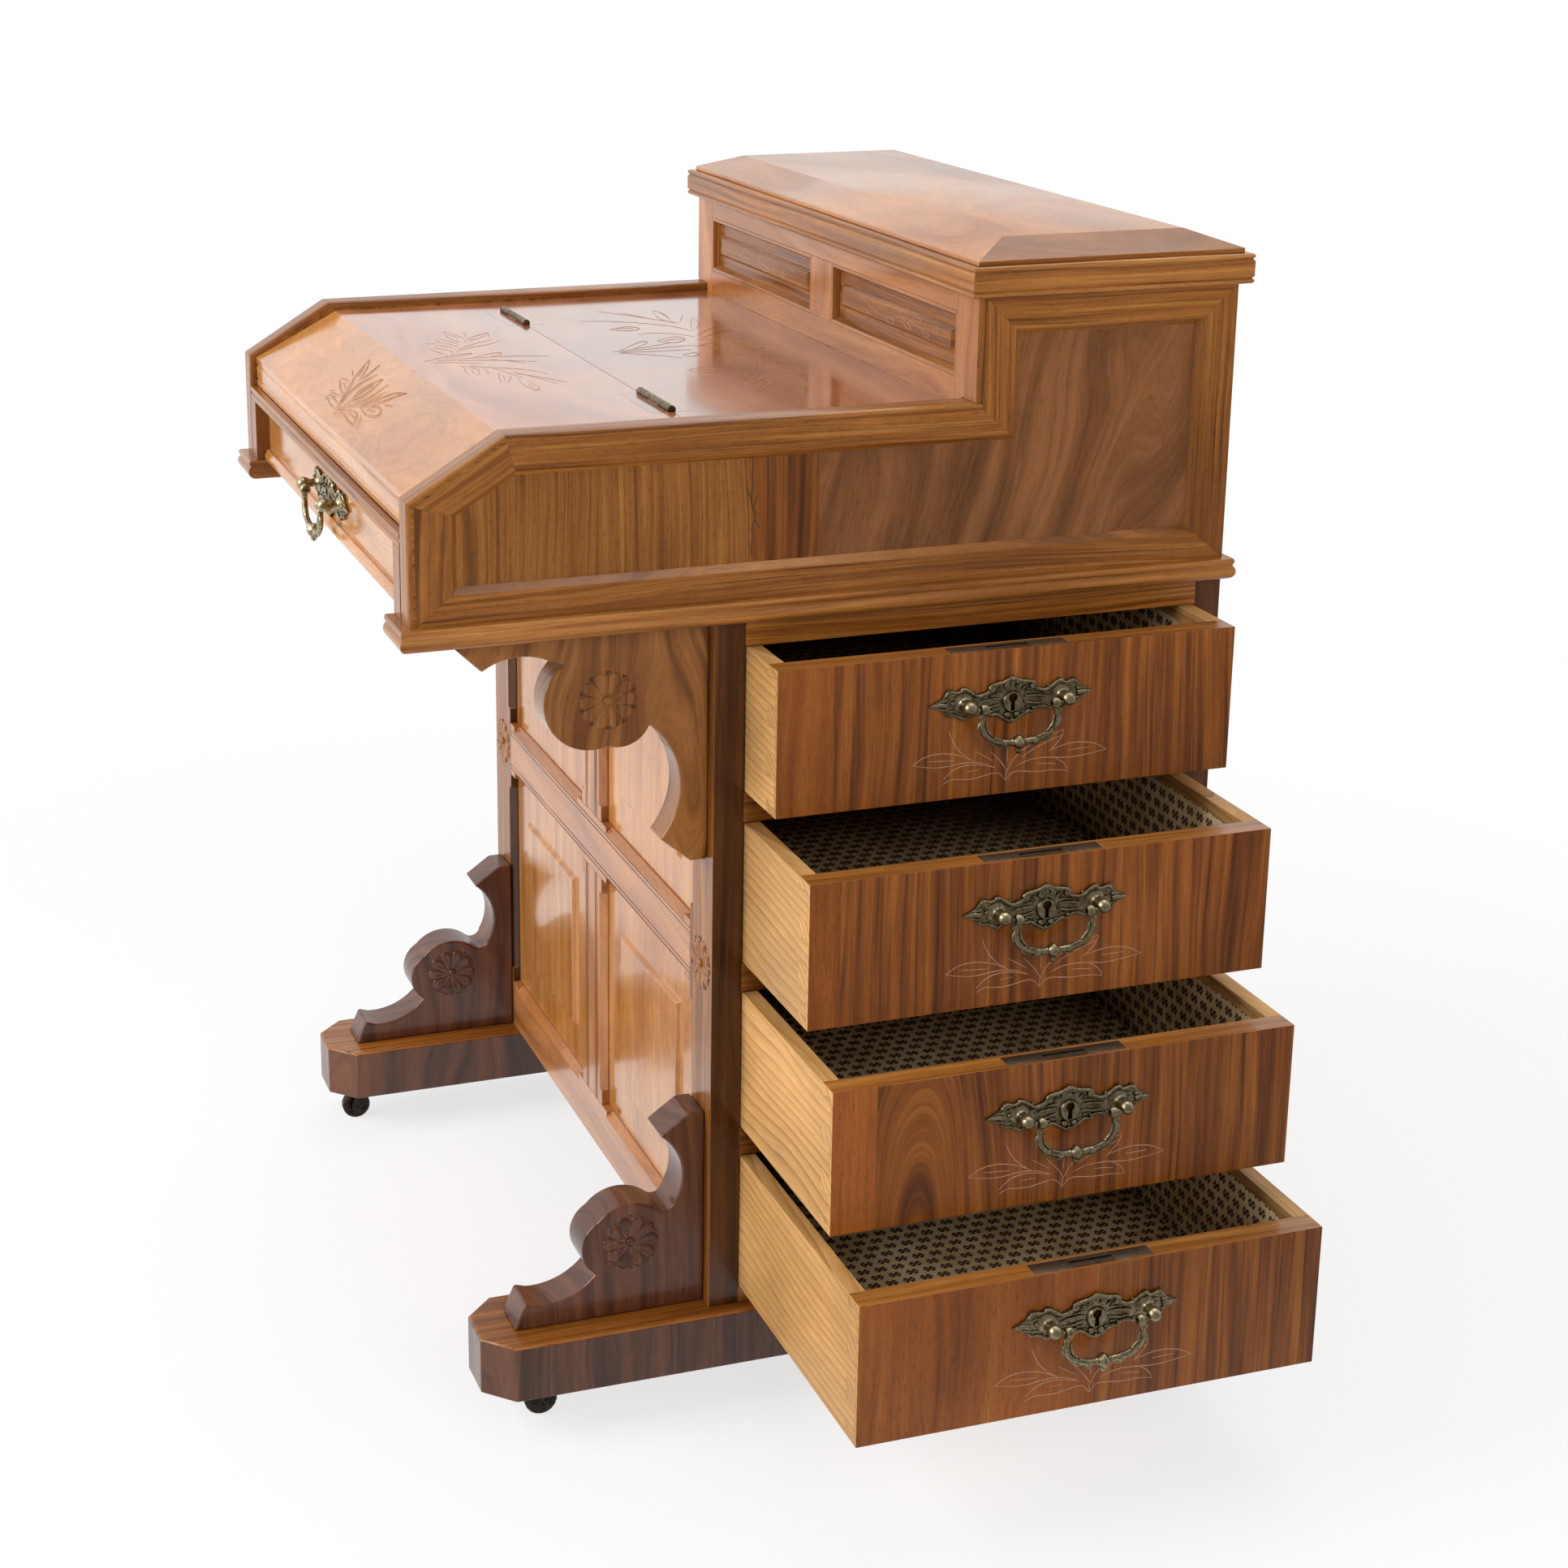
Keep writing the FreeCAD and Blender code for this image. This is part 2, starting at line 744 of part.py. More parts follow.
def make_flap():
    """The writing flap: a flat board, a sloping board and a grooved apron, with hinge leaves."""
    hinge_y, axis_z = flap_axis()
    x = inner_x - flap_gap
    back = hinge_y - flap_gap / 2
    crease_y = front_y + flap_crease_setback
    front = front_y + flap_front_setback
    front_z = slope_foot_z - flap_front_drop()
    slope = math.atan2(surface_z - front_z, crease_y - front)
    drop = flap_thickness / math.cos(slope)
    turn = flap_thickness * math.tan(slope / 2)
    low_z = apron_bottom() + flap_gap
    section = [
        (front, low_z),
        (front, front_z),
        (crease_y, surface_z),
        (back, surface_z),
        (back, surface_z - flap_thickness),
        (crease_y + turn, surface_z - flap_thickness),
        (front + apron_thickness, front_z + apron_thickness * math.tan(slope) - drop),
        (front + apron_thickness, low_z),
    ]
    flap = prism_along_x(section, -x, x)
    flap = flap.cut(Part.makeCompound(hinge_recesses(hinge_y, -1)))
    groove_z = front_z - apron_height / 2
    grooves = []
    for z in (groove_z - apron_height / 4, groove_z + apron_height / 4):
        points = [(front, z - apron_groove), (front, z + apron_groove), (front + apron_groove, z)]
        grooves.append(prism_along_x(points, -x, x))
    flap = flap.cut(Part.makeCompound(grooves))
    export("writing_flap", [flap])

    z0 = surface_z - hinge_leaf_thickness
    moving = []
    fixed = []
    for sign in (-1, 1):
        middle = sign * flap_hinge_share * inner_x
        moving.append(
            hinge_half(
                hinge_y, axis_z, middle, 1,
                lambda x0, x1: box(x0, x1, hinge_y - hinge_leaf_width, hinge_y, z0, surface_z),
            )
        )
        fixed.append(
            hinge_half(
                hinge_y, axis_z, middle, 0,
                lambda x0, x1: box(x0, x1, hinge_y, hinge_y + hinge_leaf_width, z0, surface_z),
            )
        )
    export("flap_hinge_leaves", moving)
    return fixed


def lid_axis():
    """The lid hinge's axis as (y, z), behind the case's back at the joint under the lid."""
    return back_y + hinge_barrel_radius, case_top


def lid_hinge_pockets(z0):
    """Room in the lid's moulding for the hinge barrels and leaves."""
    axis_y = lid_axis()[0]
    swing = hinge_barrel_radius + hinge_swing_gap
    pockets = []
    for sign in (-1, 1):
        middle = sign * lid_hinge_share * inner_x
        x0 = middle - hinge_length / 2 - hinge_knuckle_gap
        x1 = middle + hinge_length / 2 + hinge_knuckle_gap
        pockets.append(box(x0, x1, axis_y - swing, axis_y + overrun, z0 - overrun, z0 + swing))
        leaf_y = back_y - hinge_leaf_width
        pockets.append(box(x0, x1, leaf_y, axis_y, z0 - overrun, z0 + hinge_leaf_thickness))
    return pockets


def make_hinges(flap_fixed):
    """Lid hinge leaves that move, and every hinge leaf that stays on the case."""
    axis_y, axis_z = lid_axis()
    z0 = case_top + lid_gap
    moving = []
    fixed = []
    for sign in (-1, 1):
        middle = sign * lid_hinge_share * inner_x
        moving.append(
            hinge_half(
                axis_y, axis_z, middle, 1,
                lambda x0, x1: box(
                    x0, x1, back_y - hinge_leaf_width, axis_y, z0, z0 + hinge_leaf_thickness
                ),
            )
        )
        fixed.append(
            hinge_half(
                axis_y, axis_z, middle, 0,
                lambda x0, x1: box(
                    x0, x1, back_y, back_y + hinge_leaf_thickness, axis_z - hinge_leaf_width, axis_z
                ),
            )
        )
    export("lid_hinge_leaves", moving)
    export("hinge_leaves_on_case", flap_fixed + fixed)


def chamfered_frame_opening(x0, x1, z0, z1, y_face):
    """Cuts for one opening's stopped chamfers: a wedge along each side, short of the corners."""
    c = frame_chamfer
    s = chamfer_stop
    wedges = []
    for x, out in ((x0, -1), (x1, 1)):
        side = x + out * c
        low = [Vector(x, y_face, z0 + s), Vector(side, y_face, z0 + s), Vector(x, y_face + c, z0 + s)]
        wedges.append(face_of(low).extrude(Vector(0, 0, z1 - z0 - 2 * s)))
    for z, out in ((z0, -1), (z1, 1)):
        side = z + out * c
        low = [Vector(x0 + s, y_face, z), Vector(x0 + s, y_face, side), Vector(x0 + s, y_face + c, z)]
        wedges.append(face_of(low).extrude(Vector(x1 - x0 - 2 * s, 0, 0)))
    return wedges


def make_pedestal():
    """Posts, framed front with four fielded panels, rails, runners, boards and framed back."""
    x = half_width
    y0 = pedestal_y
    y1 = back_y
    z0 = foot_top
    z1 = pedestal_top
    front_post = box(x - post_width, x, y0, y0 + post_depth, z0, z1)
    back_post = box(x - post_width, x, y1 - back_post_depth, y1, z0, z1)

    mid_low = z0 + front_mid_height - front_mid_rail / 2
    mid_high = mid_low + front_mid_rail
    low = z0 + front_bottom_rail
    high = z1 - front_top_rail
    xi = x - post_width
    xm = front_muntin / 2
    t = pedestal_rail_thickness
    rails = [
        box(-xi, xi, y0, y0 + t, z0, low),
        box(-xi, xi, y0, y0 + t, mid_low, mid_high),
        box(-xi, xi, y0, y0 + t, high, z1),
        box(-xm, xm, y0, y0 + t, low, mid_low),
        box(-xm, xm, y0, y0 + t, mid_high, high),
    ]
    cuts = []
    for lo, hi in ((low, mid_low), (mid_high, high)):
        for a, b in ((xm, xi), (-xi, -xm)):
            cuts.extend(chamfered_frame_opening(a, b, lo, hi, y0))
    cutter = Part.makeCompound(cuts)
    export("pedestal_posts", both_sides(front_post.cut(cutter)) + both_sides(back_post))
    export("pedestal_front_frame", [rail.cut(cutter) for rail in rails])

    panels = []
    for lo, hi in ((low, mid_low), (mid_high, high)):
        yf = y0 + panel_setback
        board = box(xm, xi, yf, yf + panel_board_thickness, lo, hi)
        edge = [(xm, lo), (xm, hi), (xi, hi), (xi, lo)]
        margins = [field_side_margin, field_margin, field_side_margin, field_margin]
        field_low = inset(edge, margins)
        field_high = inset(field_low, [field_slope] * 4)
        field = tapered_block(
            [Vector(px, yf, pz) for px, pz in field_low],
            [Vector(px, yf - field_rise, pz) for px, pz in field_high],
        )
        panels.extend(both_sides(board.fuse(field).removeSplitter()))
    export("pedestal_front_panels", panels)

    rail_y0 = y0 + post_depth
    rail_y1 = y1 - back_post_depth
    rail_x = x - pedestal_rail_thickness
    rails = []
    runners = []
    levels = divider_levels()
    for lo, hi in levels:
        rails.extend(both_sides(box(rail_x, x, rail_y0, rail_y1, lo, hi)))
    for lo, hi in levels[:-1]:
        for a in (rail_y0, rail_y1 - runner_width):
            runners.append(box(-rail_x, rail_x, a, a + runner_width, lo, hi))
    export("drawer_rails", rails)
    export("drawer_runners", runners)

    board_z = z1
    top_board = box(-inner_x, inner_x, y0, y1 - side_thickness, board_z, case_bottom)
    bottom_levels = levels[0]
    floor_board = box(
        -rail_x, rail_x, rail_y0 + runner_width, rail_y1 - runner_width, z0,
        min(bottom_levels[1], z0 + pedestal_board_thickness),
    )
    export("pedestal_boards", [top_board, floor_board])

    yb = y1 - back_member_thickness - back_panel_thickness
    back_board = box(-xi, xi, yb, yb + back_panel_thickness, z0, z1)
    outline = [(-xi, z0), (-xi, z1), (xi, z1), (xi, z0)]
    members = mitred_members(
        outline, [back_member_width] * 4, side_member_bevel, back_member_thickness
    )
    placed = [stand_up(m, X, Z, Y, Vector(0, yb + back_panel_thickness, 0)) for m in members]
    export("pedestal_back", [back_board] + placed)


def divider_levels():
    """Low and high edge of each rail between the drawers, from the bottom up."""
    levels = []
    low = foot_top
    for k in range(drawer_count):
        bottom = drawer_bottom(k)
        levels.append((low, bottom - slide_clearance))
        low = bottom + drawer_front_height + slide_clearance
    levels.append((low, pedestal_top))
    return levels


def drawer_bottom(k):
    """The height of the underside of drawer k, counted from the bottom."""
    return foot_top + bottom_rail_height + slide_clearance + k * drawer_pitch


def ring(radius, sides, middle, across, up):
    """Corner points of a regular polygon about a middle point, with two directions in its plane."""
    points = []
    for k in range(sides):
        angle = 2 * math.pi * (k + 1 / 2) / sides
        points.append(middle + across * (radius * math.cos(angle)) + up * (radius * math.sin(angle)))
    return points


def turned(profile, sides, base, axis, across):
    """A small turned piece with flat facets, from (distance along its axis, radius) pairs."""
    up = axis.cross(across)
    solid = None
    for (d0, r0), (d1, r1) in zip(profile, profile[1:]):
        piece = tapered_block(
            ring(r0, sides, base + axis * d0, across, up),
            ring(r1, sides, base + axis * d1, across, up),
        )
        solid = piece if solid is None else solid.fuse(piece)
    return solid.removeSplitter()


def bore(radius, length, base, axis, across):
    """The room for a pin to turn in: flat facets that clear its radius by the running clearance."""
    corner = (radius + running_clearance) / math.cos(math.pi / bore_sides)
    return turned([(0, corner), (length, corner)], bore_sides, base, axis, across)


def keyhole(depth, base_y):
    """A keyhole above the local origin, drawn out along +Y."""
    top = turned(
        [(0, keyhole_radius), (depth, keyhole_radius)], keyhole_sides,
        Vector(0, base_y, keyhole_rise), Y, X,
    )
    half = keyhole_slot / 2
    flare = keyhole_slot / 4
    slot = prism_along_y(
        [
            (-half, keyhole_rise), (half, keyhole_rise),
            (half + flare, -keyhole_drop), (-half - flare, -keyhole_drop),
        ],
        base_y,
        base_y + depth,
    )
    return top.fuse(slot).removeSplitter()


def handle_plate():
    """The cast plate with its keyhole, two knobbed posts and the pins that carry the bail.

    Local frame: the origin is the middle of the plate on the drawer's face, -Y points outwards.
    """
    top_shares = [
        (-0.86, 0.13), (-0.76, 0.50), (-0.70, 0.29), (-0.58, 0.60), (-0.47, 0.30),
        (-0.36, 0.26), (-0.29, 0.56), (-0.22, 0.60), (-0.15, 0.55),
    ]
    low_shares = [
        (0.11, 0.86), (0.24, 0.70), (0.40, 0.46), (0.57, 0.72), (0.74, 0.46), (0.84, 0.18),
    ]
    a = plate_half_length
    points = [(-a, 0)]
    points.extend((x * a, z * plate_top) for x, z in top_shares)
    points.append((0, plate_top))
    points.extend((-x * a, z * plate_top) for x, z in reversed(top_shares))
    points.append((a, 0))
    points.extend((x * a, -z * plate_bottom) for x, z in reversed(low_shares))
    points.append((0, -plate_bottom))
    points.extend((-x * a, -z * plate_bottom) for x, z in low_shares)
    plate = prism_along_y(points, -plate_thickness, 0)
    plate = plate.cut(keyhole(plate_thickness, -plate_thickness))
    half_knob = knob_length / 2
    profile = [
        (0, post_foot_radius),
        (knob_out - half_knob, post_radius),
        (knob_out - half_knob / 2, knob_radius),
        (knob_out + half_knob / 2, knob_radius),
        (knob_out + half_knob, knob_tip_radius),
    ]
    reach = post_spacing / 2 - eye_place() + bail_bar / 2 + pin_overshoot
    for sign in (-1, 1):
        base = Vector(sign * post_spacing / 2, 0, post_rise)
        post = turned(profile, turned_sides, base, Vector(0, -1, 0), X)
        pin_base = Vector(base.x, -knob_out, -bail_axis_drop)
        pin = turned(
            [(0, pin_radius), (reach, pin_radius)], bore_sides, pin_base, Vector(-sign, 0, 0), Y
        )
        plate = plate.fuse(post).fuse(pin)
    return plate.removeSplitter()


def eye_place():
    """How far the middle of each eye of the bail lies from the middle of the handle."""
    return post_spacing / 2 - knob_radius - eye_gap - bail_bar / 2


def handle_bail():
    """The hanging bail, in the plate's local frame: a flat cast bow with two eyes and a finial."""
    eye = eye_place()
    bar = bail_bar / 2
    middle_shares = [(1.0, 0.30), (0.94, 0.62), (0.62, 0.92), (0.24, 1.0)]
    line = [(eye, 0)]
    line.extend((x * (eye + bail_swell), -z * bail_drop) for x, z in middle_shares)
    centre = line + [(-x, z) for x, z in reversed(line)]
    outer = []
    inner = []
    for k, (x, z) in enumerate(centre):
        before = centre[max(k - 1, 0)]
        after = centre[min(k + 1, len(centre) - 1)]
        dx = after[0] - before[0]
        dz = after[1] - before[1]
        length = math.hypot(dx, dz)
        outer.append((x - dz / length * bar, z + dx / length * bar))
        inner.append((x + dz / length * bar, z - dx / length * bar))
    outline = [(x, z - bail_axis_drop) for x, z in outer + inner[::-1]]
    bow = prism_along_y(outline, -knob_out - bail_depth / 2, -knob_out + bail_depth / 2)
    for sign in (-1, 1):
        base = Vector(sign * eye - bar, -knob_out, -bail_axis_drop)
        lug = turned([(0, eye_radius), (bail_bar, eye_radius)], turned_sides, base, X, Y)
        start = base - X * pin_overshoot
        room = bore(pin_radius, bail_bar + 2 * pin_overshoot, start, X, Y)
        bow = bow.fuse(lug).cut(room)
    end = finial_radius / 2
    profile = [
        (-finial_length / 2, end), (-end / 2, finial_radius), (end / 2, finial_radius),
        (finial_length / 2, end),
    ]
    middle = Vector(0, -knob_out, -bail_axis_drop - bail_drop)
    finial = turned(profile, turned_sides, middle, X, Y)
    return bow.fuse(finial).removeSplitter()


def lock_metal(key_z, face_z, thickness):
    """A drawer lock in the drawer's local frame: the plate let into the top edge and its case."""
    half = lock_plate_length / 2
    y0 = (thickness - lock_plate_width) / 2
    y1 = y0 + lock_plate_width
    plate = box(-half, half, y0, y1, face_z - lock_plate_thickness, face_z)
    slot_y = (y0 + y1) / 2
    slot = box(
        -lock_slot_length / 2, lock_slot_length / 2, slot_y - lock_slot_width / 2,
        slot_y + lock_slot_width / 2, face_z - lock_plate_thickness, face_z,
    )
    case_half = lock_case_length / 2
    case = box(
        -case_half, case_half, thickness, thickness + lock_case_depth,
        key_z - lock_case_height / 2, key_z + lock_case_height / 2,
    )
    return plate.cut(slot), case


def dovetail_tails(base, height, lap, thickness):
    """Tails on a drawer side's front end, as (y, z) outlines from the lap to the shoulder."""
    pitch = (height - base) / tail_count
    wide = pitch * tail_share
    narrow = wide - 2 * tail_flare
    tails = []
    for k in range(tail_count):
        middle = base + pitch / 2 + k * pitch
        tails.append(
            [
                (lap, middle - wide / 2),
                (lap, middle + wide / 2),
                (thickness, middle + narrow / 2),
                (thickness, middle - narrow / 2),
            ]
        )
    return tails


def drawer_pieces(width, height, base, length, front_t, side_t, bottom_t, bottom_up, key_z):
    """A drawer in its local frame: the face's lower middle is the origin, -Y points outwards.

    The box behind the front starts at base above the front's lower edge.
    """
    half = width / 2
    front = box(-half, half, 0, front_t, 0, height)
    inner = half - side_t
    sides = []
    for sign in (-1, 1):
        x0, x1 = sorted((sign * half, sign * inner))
        side = box(x0, x1, front_t, length, base, height)
        for tail in dovetail_tails(base, height, tail_lap, front_t):
            solid = prism_along_x(tail, x0, x1)
            front = front.cut(solid)
            side = side.fuse(solid)
        sides.append(side.removeSplitter())
    back_y0 = length - drawer_back_thickness
    floor = base + bottom_up
    back = box(-inner, inner, back_y0, length, floor, height - drawer_back_drop)
    bottom = box(-inner, inner, front_t, back_y0, floor, floor + bottom_t)
    half_plate = lock_plate_length / 2
    y0 = (front_t - lock_plate_width) / 2
    recess = box(
        -half_plate, half_plate, y0, y0 + lock_plate_width, height - lock_plate_thickness, height
    )
    r = keyhole_radius
    hole = box(-r, r, 0, front_t, key_z - keyhole_drop, key_z + keyhole_rise + r)
    return front.cut(recess).cut(hole), sides + [back, bottom]


def set_in_place(shapes, heading, place):
    """Turns local shapes by a heading about Z and moves them to their place."""
    placed = []
    for shape in shapes:
        copy = shape.copy()
        copy.rotate(ORIGIN, Z, heading)
        copy.translate(place)
        placed.append(copy)
    return placed


def make_drawers():
    """Four pedestal drawers, standing open at rest, and the drawer in the front of the case."""
    opening = pedestal_depth - post_depth - back_post_depth
    width = opening - 2 * slide_clearance
    middle_y = pedestal_y + post_depth + opening / 2
    key_z = drawer_front_height - key_drop
    front, body = drawer_pieces(
        width, drawer_front_height, 0, drawer_length, drawer_front_thickness,
        drawer_side_thickness, drawer_bottom_thickness, drawer_bottom_setup, key_z,
    )
    plate = handle_plate()
    bail = handle_bail()
    lock = lock_metal(key_z, drawer_front_height, drawer_front_thickness)
    for k in range(drawer_count):
        name = "drawer_" + str(drawer_count - k)
        place = Vector(half_width + drawer_pulls[k], middle_y, drawer_bottom(k))
        key_place = place + Vector(0, 0, key_z)
        export(name + "_front", set_in_place([front], 90, place))
        export(name + "_box", set_in_place(body, 90, place))
        metal = set_in_place([plate], 90, key_place) + set_in_place(lock, 90, place)
        export(name + "_handle", metal)
        export(name + "_bail", set_in_place([bail], 90, key_place))

    dummy_plates = []
    dummy_fronts = []
    for k in range(drawer_count):
        place = Vector(-half_width, middle_y, drawer_bottom(k))
        key_place = place + Vector(0, 0, key_z)
        board = box(
            -opening / 2, opening / 2, 0, drawer_front_thickness, -slide_clearance,
            drawer_front_height + slide_clearance,
        )
        dummy_fronts.extend(set_in_place([board], -90, place))
        dummy_plates.extend(set_in_place([plate], -90, key_place))
        export("dummy_bail_" + str(drawer_count - k), set_in_place([bail], -90, key_place))
    export("dummy_drawer_fronts", dummy_fronts)
    export("dummy_handles", dummy_plates)

    bottom = case_bottom + slide_clearance
    height = apron_bottom() - bead_rail_height - slide_clearance - bottom
    width = 2 * (inner_x - case_front_stile - slide_clearance)
    front, body = drawer_pieces(
        width, height, bottom_board_thickness, front_drawer_length, front_drawer_thickness,
        front_drawer_side_thickness, front_drawer_bottom_thickness, front_drawer_bottom_setup,
        front_key_rise,
    )
    edge = front_drawer_strip
    out = front_drawer_strip_projection
    bead = [(0, 0), (-out, 0), (-out, edge / 2), (-out / 2, edge), (0, edge)]
    front = front.fuse(prism_along_x(bead, -width / 2, width / 2)).removeSplitter()
    place = Vector(0, front_y + front_drawer_recess, bottom)
    key_place = place + Vector(0, 0, front_key_rise)
    lock = lock_metal(front_key_rise, height, front_drawer_thickness)
    export("front_drawer_front", set_in_place([front], 0, place))
    export("front_drawer_box", set_in_place(body, 0, place))
    export("front_drawer_handle", set_in_place([plate], 0, key_place) + set_in_place([lock[0]], 0, place))
    export("front_drawer_bail", set_in_place([bail], 0, key_place))


def make_feet():
    """Two sledge feet with chamfered front and back corners."""
    outer = half_width + foot_stand_out
    inner = outer - foot_width
    y0 = front_y + foot_front_setback
    y1 = back_y + foot_back_setback
    c = foot_chamfer
    plan = [
        (inner, y0 + c), (inner, y1 - c), (inner + c, y1), (outer - c, y1),
        (outer, y1 - c), (outer, y0 + c), (outer - c, y0), (inner + c, y0),
    ]
    low = foot_top - foot_thickness
    body = prism_along_z(plan, low, foot_top - foot_edge_bevel)
    edge = inset(plan, [foot_edge_bevel] * len(plan))
    top = tapered_block(
        [Vector(x, y, foot_top - foot_edge_bevel) for x, y in plan],
        [Vector(x, y, foot_top) for x, y in edge],
    )
    foot = body.fuse(top).removeSplitter()
    export("feet", both_sides(foot))


def bracket(start, steps, length, height, thickness):
    """A scroll bracket from an outline in shares of its length and height, with chamfered edges."""
    scaled = [tuple((y * length, z * height) for y, z in step) for step in steps]
    outline = chords((start[0] * length, start[1] * height), scaled, bracket_chord)
    c = bracket_chamfer
    edges = []
    for (y0, z0), (y1, z1) in zip(outline, outline[1:] + outline[:1]):
        flat = y0 == y1 == length or z0 == z1
        edges.append(0 if flat else c)
    crest = inset(outline, edges)
    layers = [prism_along_x(outline, c, thickness - c)]
    for x0, x1 in ((c, 0), (thickness - c, thickness)):
        layers.append(
            tapered_block([Vector(x0, y, z) for y, z in outline], [Vector(x1, y, z) for y, z in crest])
        )
    return layers[0].fuse(layers[1]).fuse(layers[2]).removeSplitter()


def lower_bracket():
    """The lower bracket: a toe, a hollow, a scroll and an upper hollow against the post."""
    shares = [
        ((0.060, 0.130),),
        ((0.120, 0.112),),
        ((0.300, 0.140), (0.428, 0.232)),
        ((0.356, 0.345), (0.440, 0.500)),
        ((0.600, 0.572), (0.752, 0.522)),
        ((0.812, 0.510), (0.845, 0.552)),
        ((0.872, 0.760), (0.765, 0.900)),
        ((0.915, 1.0),),
        ((1.0, 1.0),),
        ((1.0, 0.0),),
        ((0.0, 0.0),),
    ]
    return bracket((0.0, 0.0), shares, lower_bracket_length, lower_bracket_height, lower_bracket_thickness)


def upper_bracket():
    """The upper bracket, drawn from its lower back corner: hollow, scroll, cusps and toe."""
    shares = [
        ((0.932, 0.0),),
        ((0.812, 0.105),),
        ((0.890, 0.330), (0.768, 0.590)),
        ((0.700, 0.520), (0.605, 0.520)),
        ((0.370, 0.640), (0.440, 0.872)),
        ((0.380, 0.892),),
        ((0.250, 0.918), (0.126, 0.872)),
        ((0.0, 1.0),),
        ((1.0, 1.0),),
        ((1.0, 0.0),),
    ]
    return bracket((1.0, 0.0), shares, upper_bracket_length, upper_bracket_height, upper_bracket_thickness)


def make_brackets():
    """Places the scroll brackets against the front posts of the pedestal."""
    outer = half_width - bracket_setback
    low = lower_bracket()
    low.translate(Vector(outer - lower_bracket_thickness, pedestal_y - lower_bracket_length, foot_top))
    export("lower_brackets", both_sides(low))
    high = upper_bracket()
    high.translate(
        Vector(
            outer - upper_bracket_thickness,
            pedestal_y - upper_bracket_length,
            pedestal_top - upper_bracket_height,
        )
    )
    export("upper_brackets", both_sides(high))


def castor_places():
    """Where the four castors turn, as (x, y)."""
    x = half_width + foot_stand_out - foot_width / 2
    y0 = front_y + foot_front_setback + castor_setback
    y1 = back_y + foot_back_setback - castor_setback
    return [(x, y0), (x, y1), (-x, y1), (-x, y0)]


def make_castors():
    """Plates with a fixed pin under the feet, forks that swivel on them and wheels in the forks."""
    names = ("front_right", "back_right", "back_left", "front_left")
    crown_top = castor_height - castor_plate_thickness - castor_gap
    crown_low = crown_top - castor_crown_thickness
    axle_z = castor_wheel_radius
    inner = castor_wheel_width / 2 + castor_cheek_gap
    reach = inner + castor_cheek_thickness
    plates = []
    for name, (x, y), trail in zip(names, castor_places(), castor_trail_shares):
        top = Vector(x, y, castor_height)
        plate = turned(
            [(0, castor_plate_radius), (castor_plate_thickness, castor_plate_radius)],
            castor_plate_sides, top, Vector(0, 0, -1), X,
        )
        length = castor_height - crown_low + castor_gap
        stem = cylinder(castor_pin_radius, length, top, -Z)
        head = turned(
            [(0, castor_pin_radius + castor_pin_head), (castor_pin_head, castor_pin_radius)],
            castor_plate_sides, Vector(x, y, crown_low - castor_gap), Vector(0, 0, -1), X,
        )
        plates.append(plate.fuse(stem).fuse(head).removeSplitter())

        axle_y = y + trail * castor_trail
        crown = turned(
            [(0, castor_crown_radius), (castor_crown_thickness, castor_crown_radius)],
            castor_plate_sides, Vector(x, y, crown_low), Z, X,
        )
        fork = crown
        r = castor_crown_radius
        b = castor_axle_radius + castor_cheek_thickness
        for sign in (-1, 1):
            x0, x1 = sorted((x + sign * inner, x + sign * reach))
            cheek = prism_along_x(
                [
                    (y - trail * r / 2, crown_top), (y + trail * r, crown_top),
                    (axle_y + trail * b, axle_z + b / 2), (axle_y + trail * b, axle_z - b / 2),
                    (axle_y, axle_z - b), (axle_y - trail * b, axle_z),
                    (y - trail * r / 2, crown_low),
                ],
                x0,
                x1,
            )
            fork = fork.fuse(cheek)
        fork = fork.cut(bore(castor_pin_radius, castor_crown_thickness, Vector(x, y, crown_low), Z, X))
        axle = turned(
            [(0, castor_axle_radius), (2 * reach, castor_axle_radius)], bore_sides,
            Vector(x - reach, axle_y, axle_z), X, Y,
        )
        fork = fork.fuse(axle)
        export("castor_fork_" + name, [fork.removeSplitter()])

        width = castor_wheel_width
        rim = castor_wheel_radius
        edge = rim - castor_wheel_bevel
        profile = [(0, edge), (castor_wheel_bevel, rim), (width - castor_wheel_bevel, rim), (width, edge)]
        base = Vector(x - width / 2, axle_y, axle_z)
        wheel = turned(profile, castor_wheel_sides, base, X, Y)
        export("castor_wheel_" + name, [wheel.cut(bore(castor_axle_radius, width, base, X, Y))])
    export("castor_plates", plates)


os.makedirs("parts", exist_ok=True)
make_sides()
make_case_boards()
make_gallery_front()
make_base_moulding()
make_lid()
make_hinges(make_flap())
make_pedestal()
make_drawers()
make_feet()
make_brackets()
make_castors()
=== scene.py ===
# %% [markdown]
# # A davenport desk
#
# This lesson dresses a small walnut writing desk of the 1880s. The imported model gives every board,
# drawer and hinge in its right place. Here each of them gets its wood or metal, softened edges and
# grain that runs along the board, and the carved and cast pieces are modelled in full.

# %% Load the frame
import json
import math
import random

import bmesh
import bpy
from mathutils import Matrix, Vector

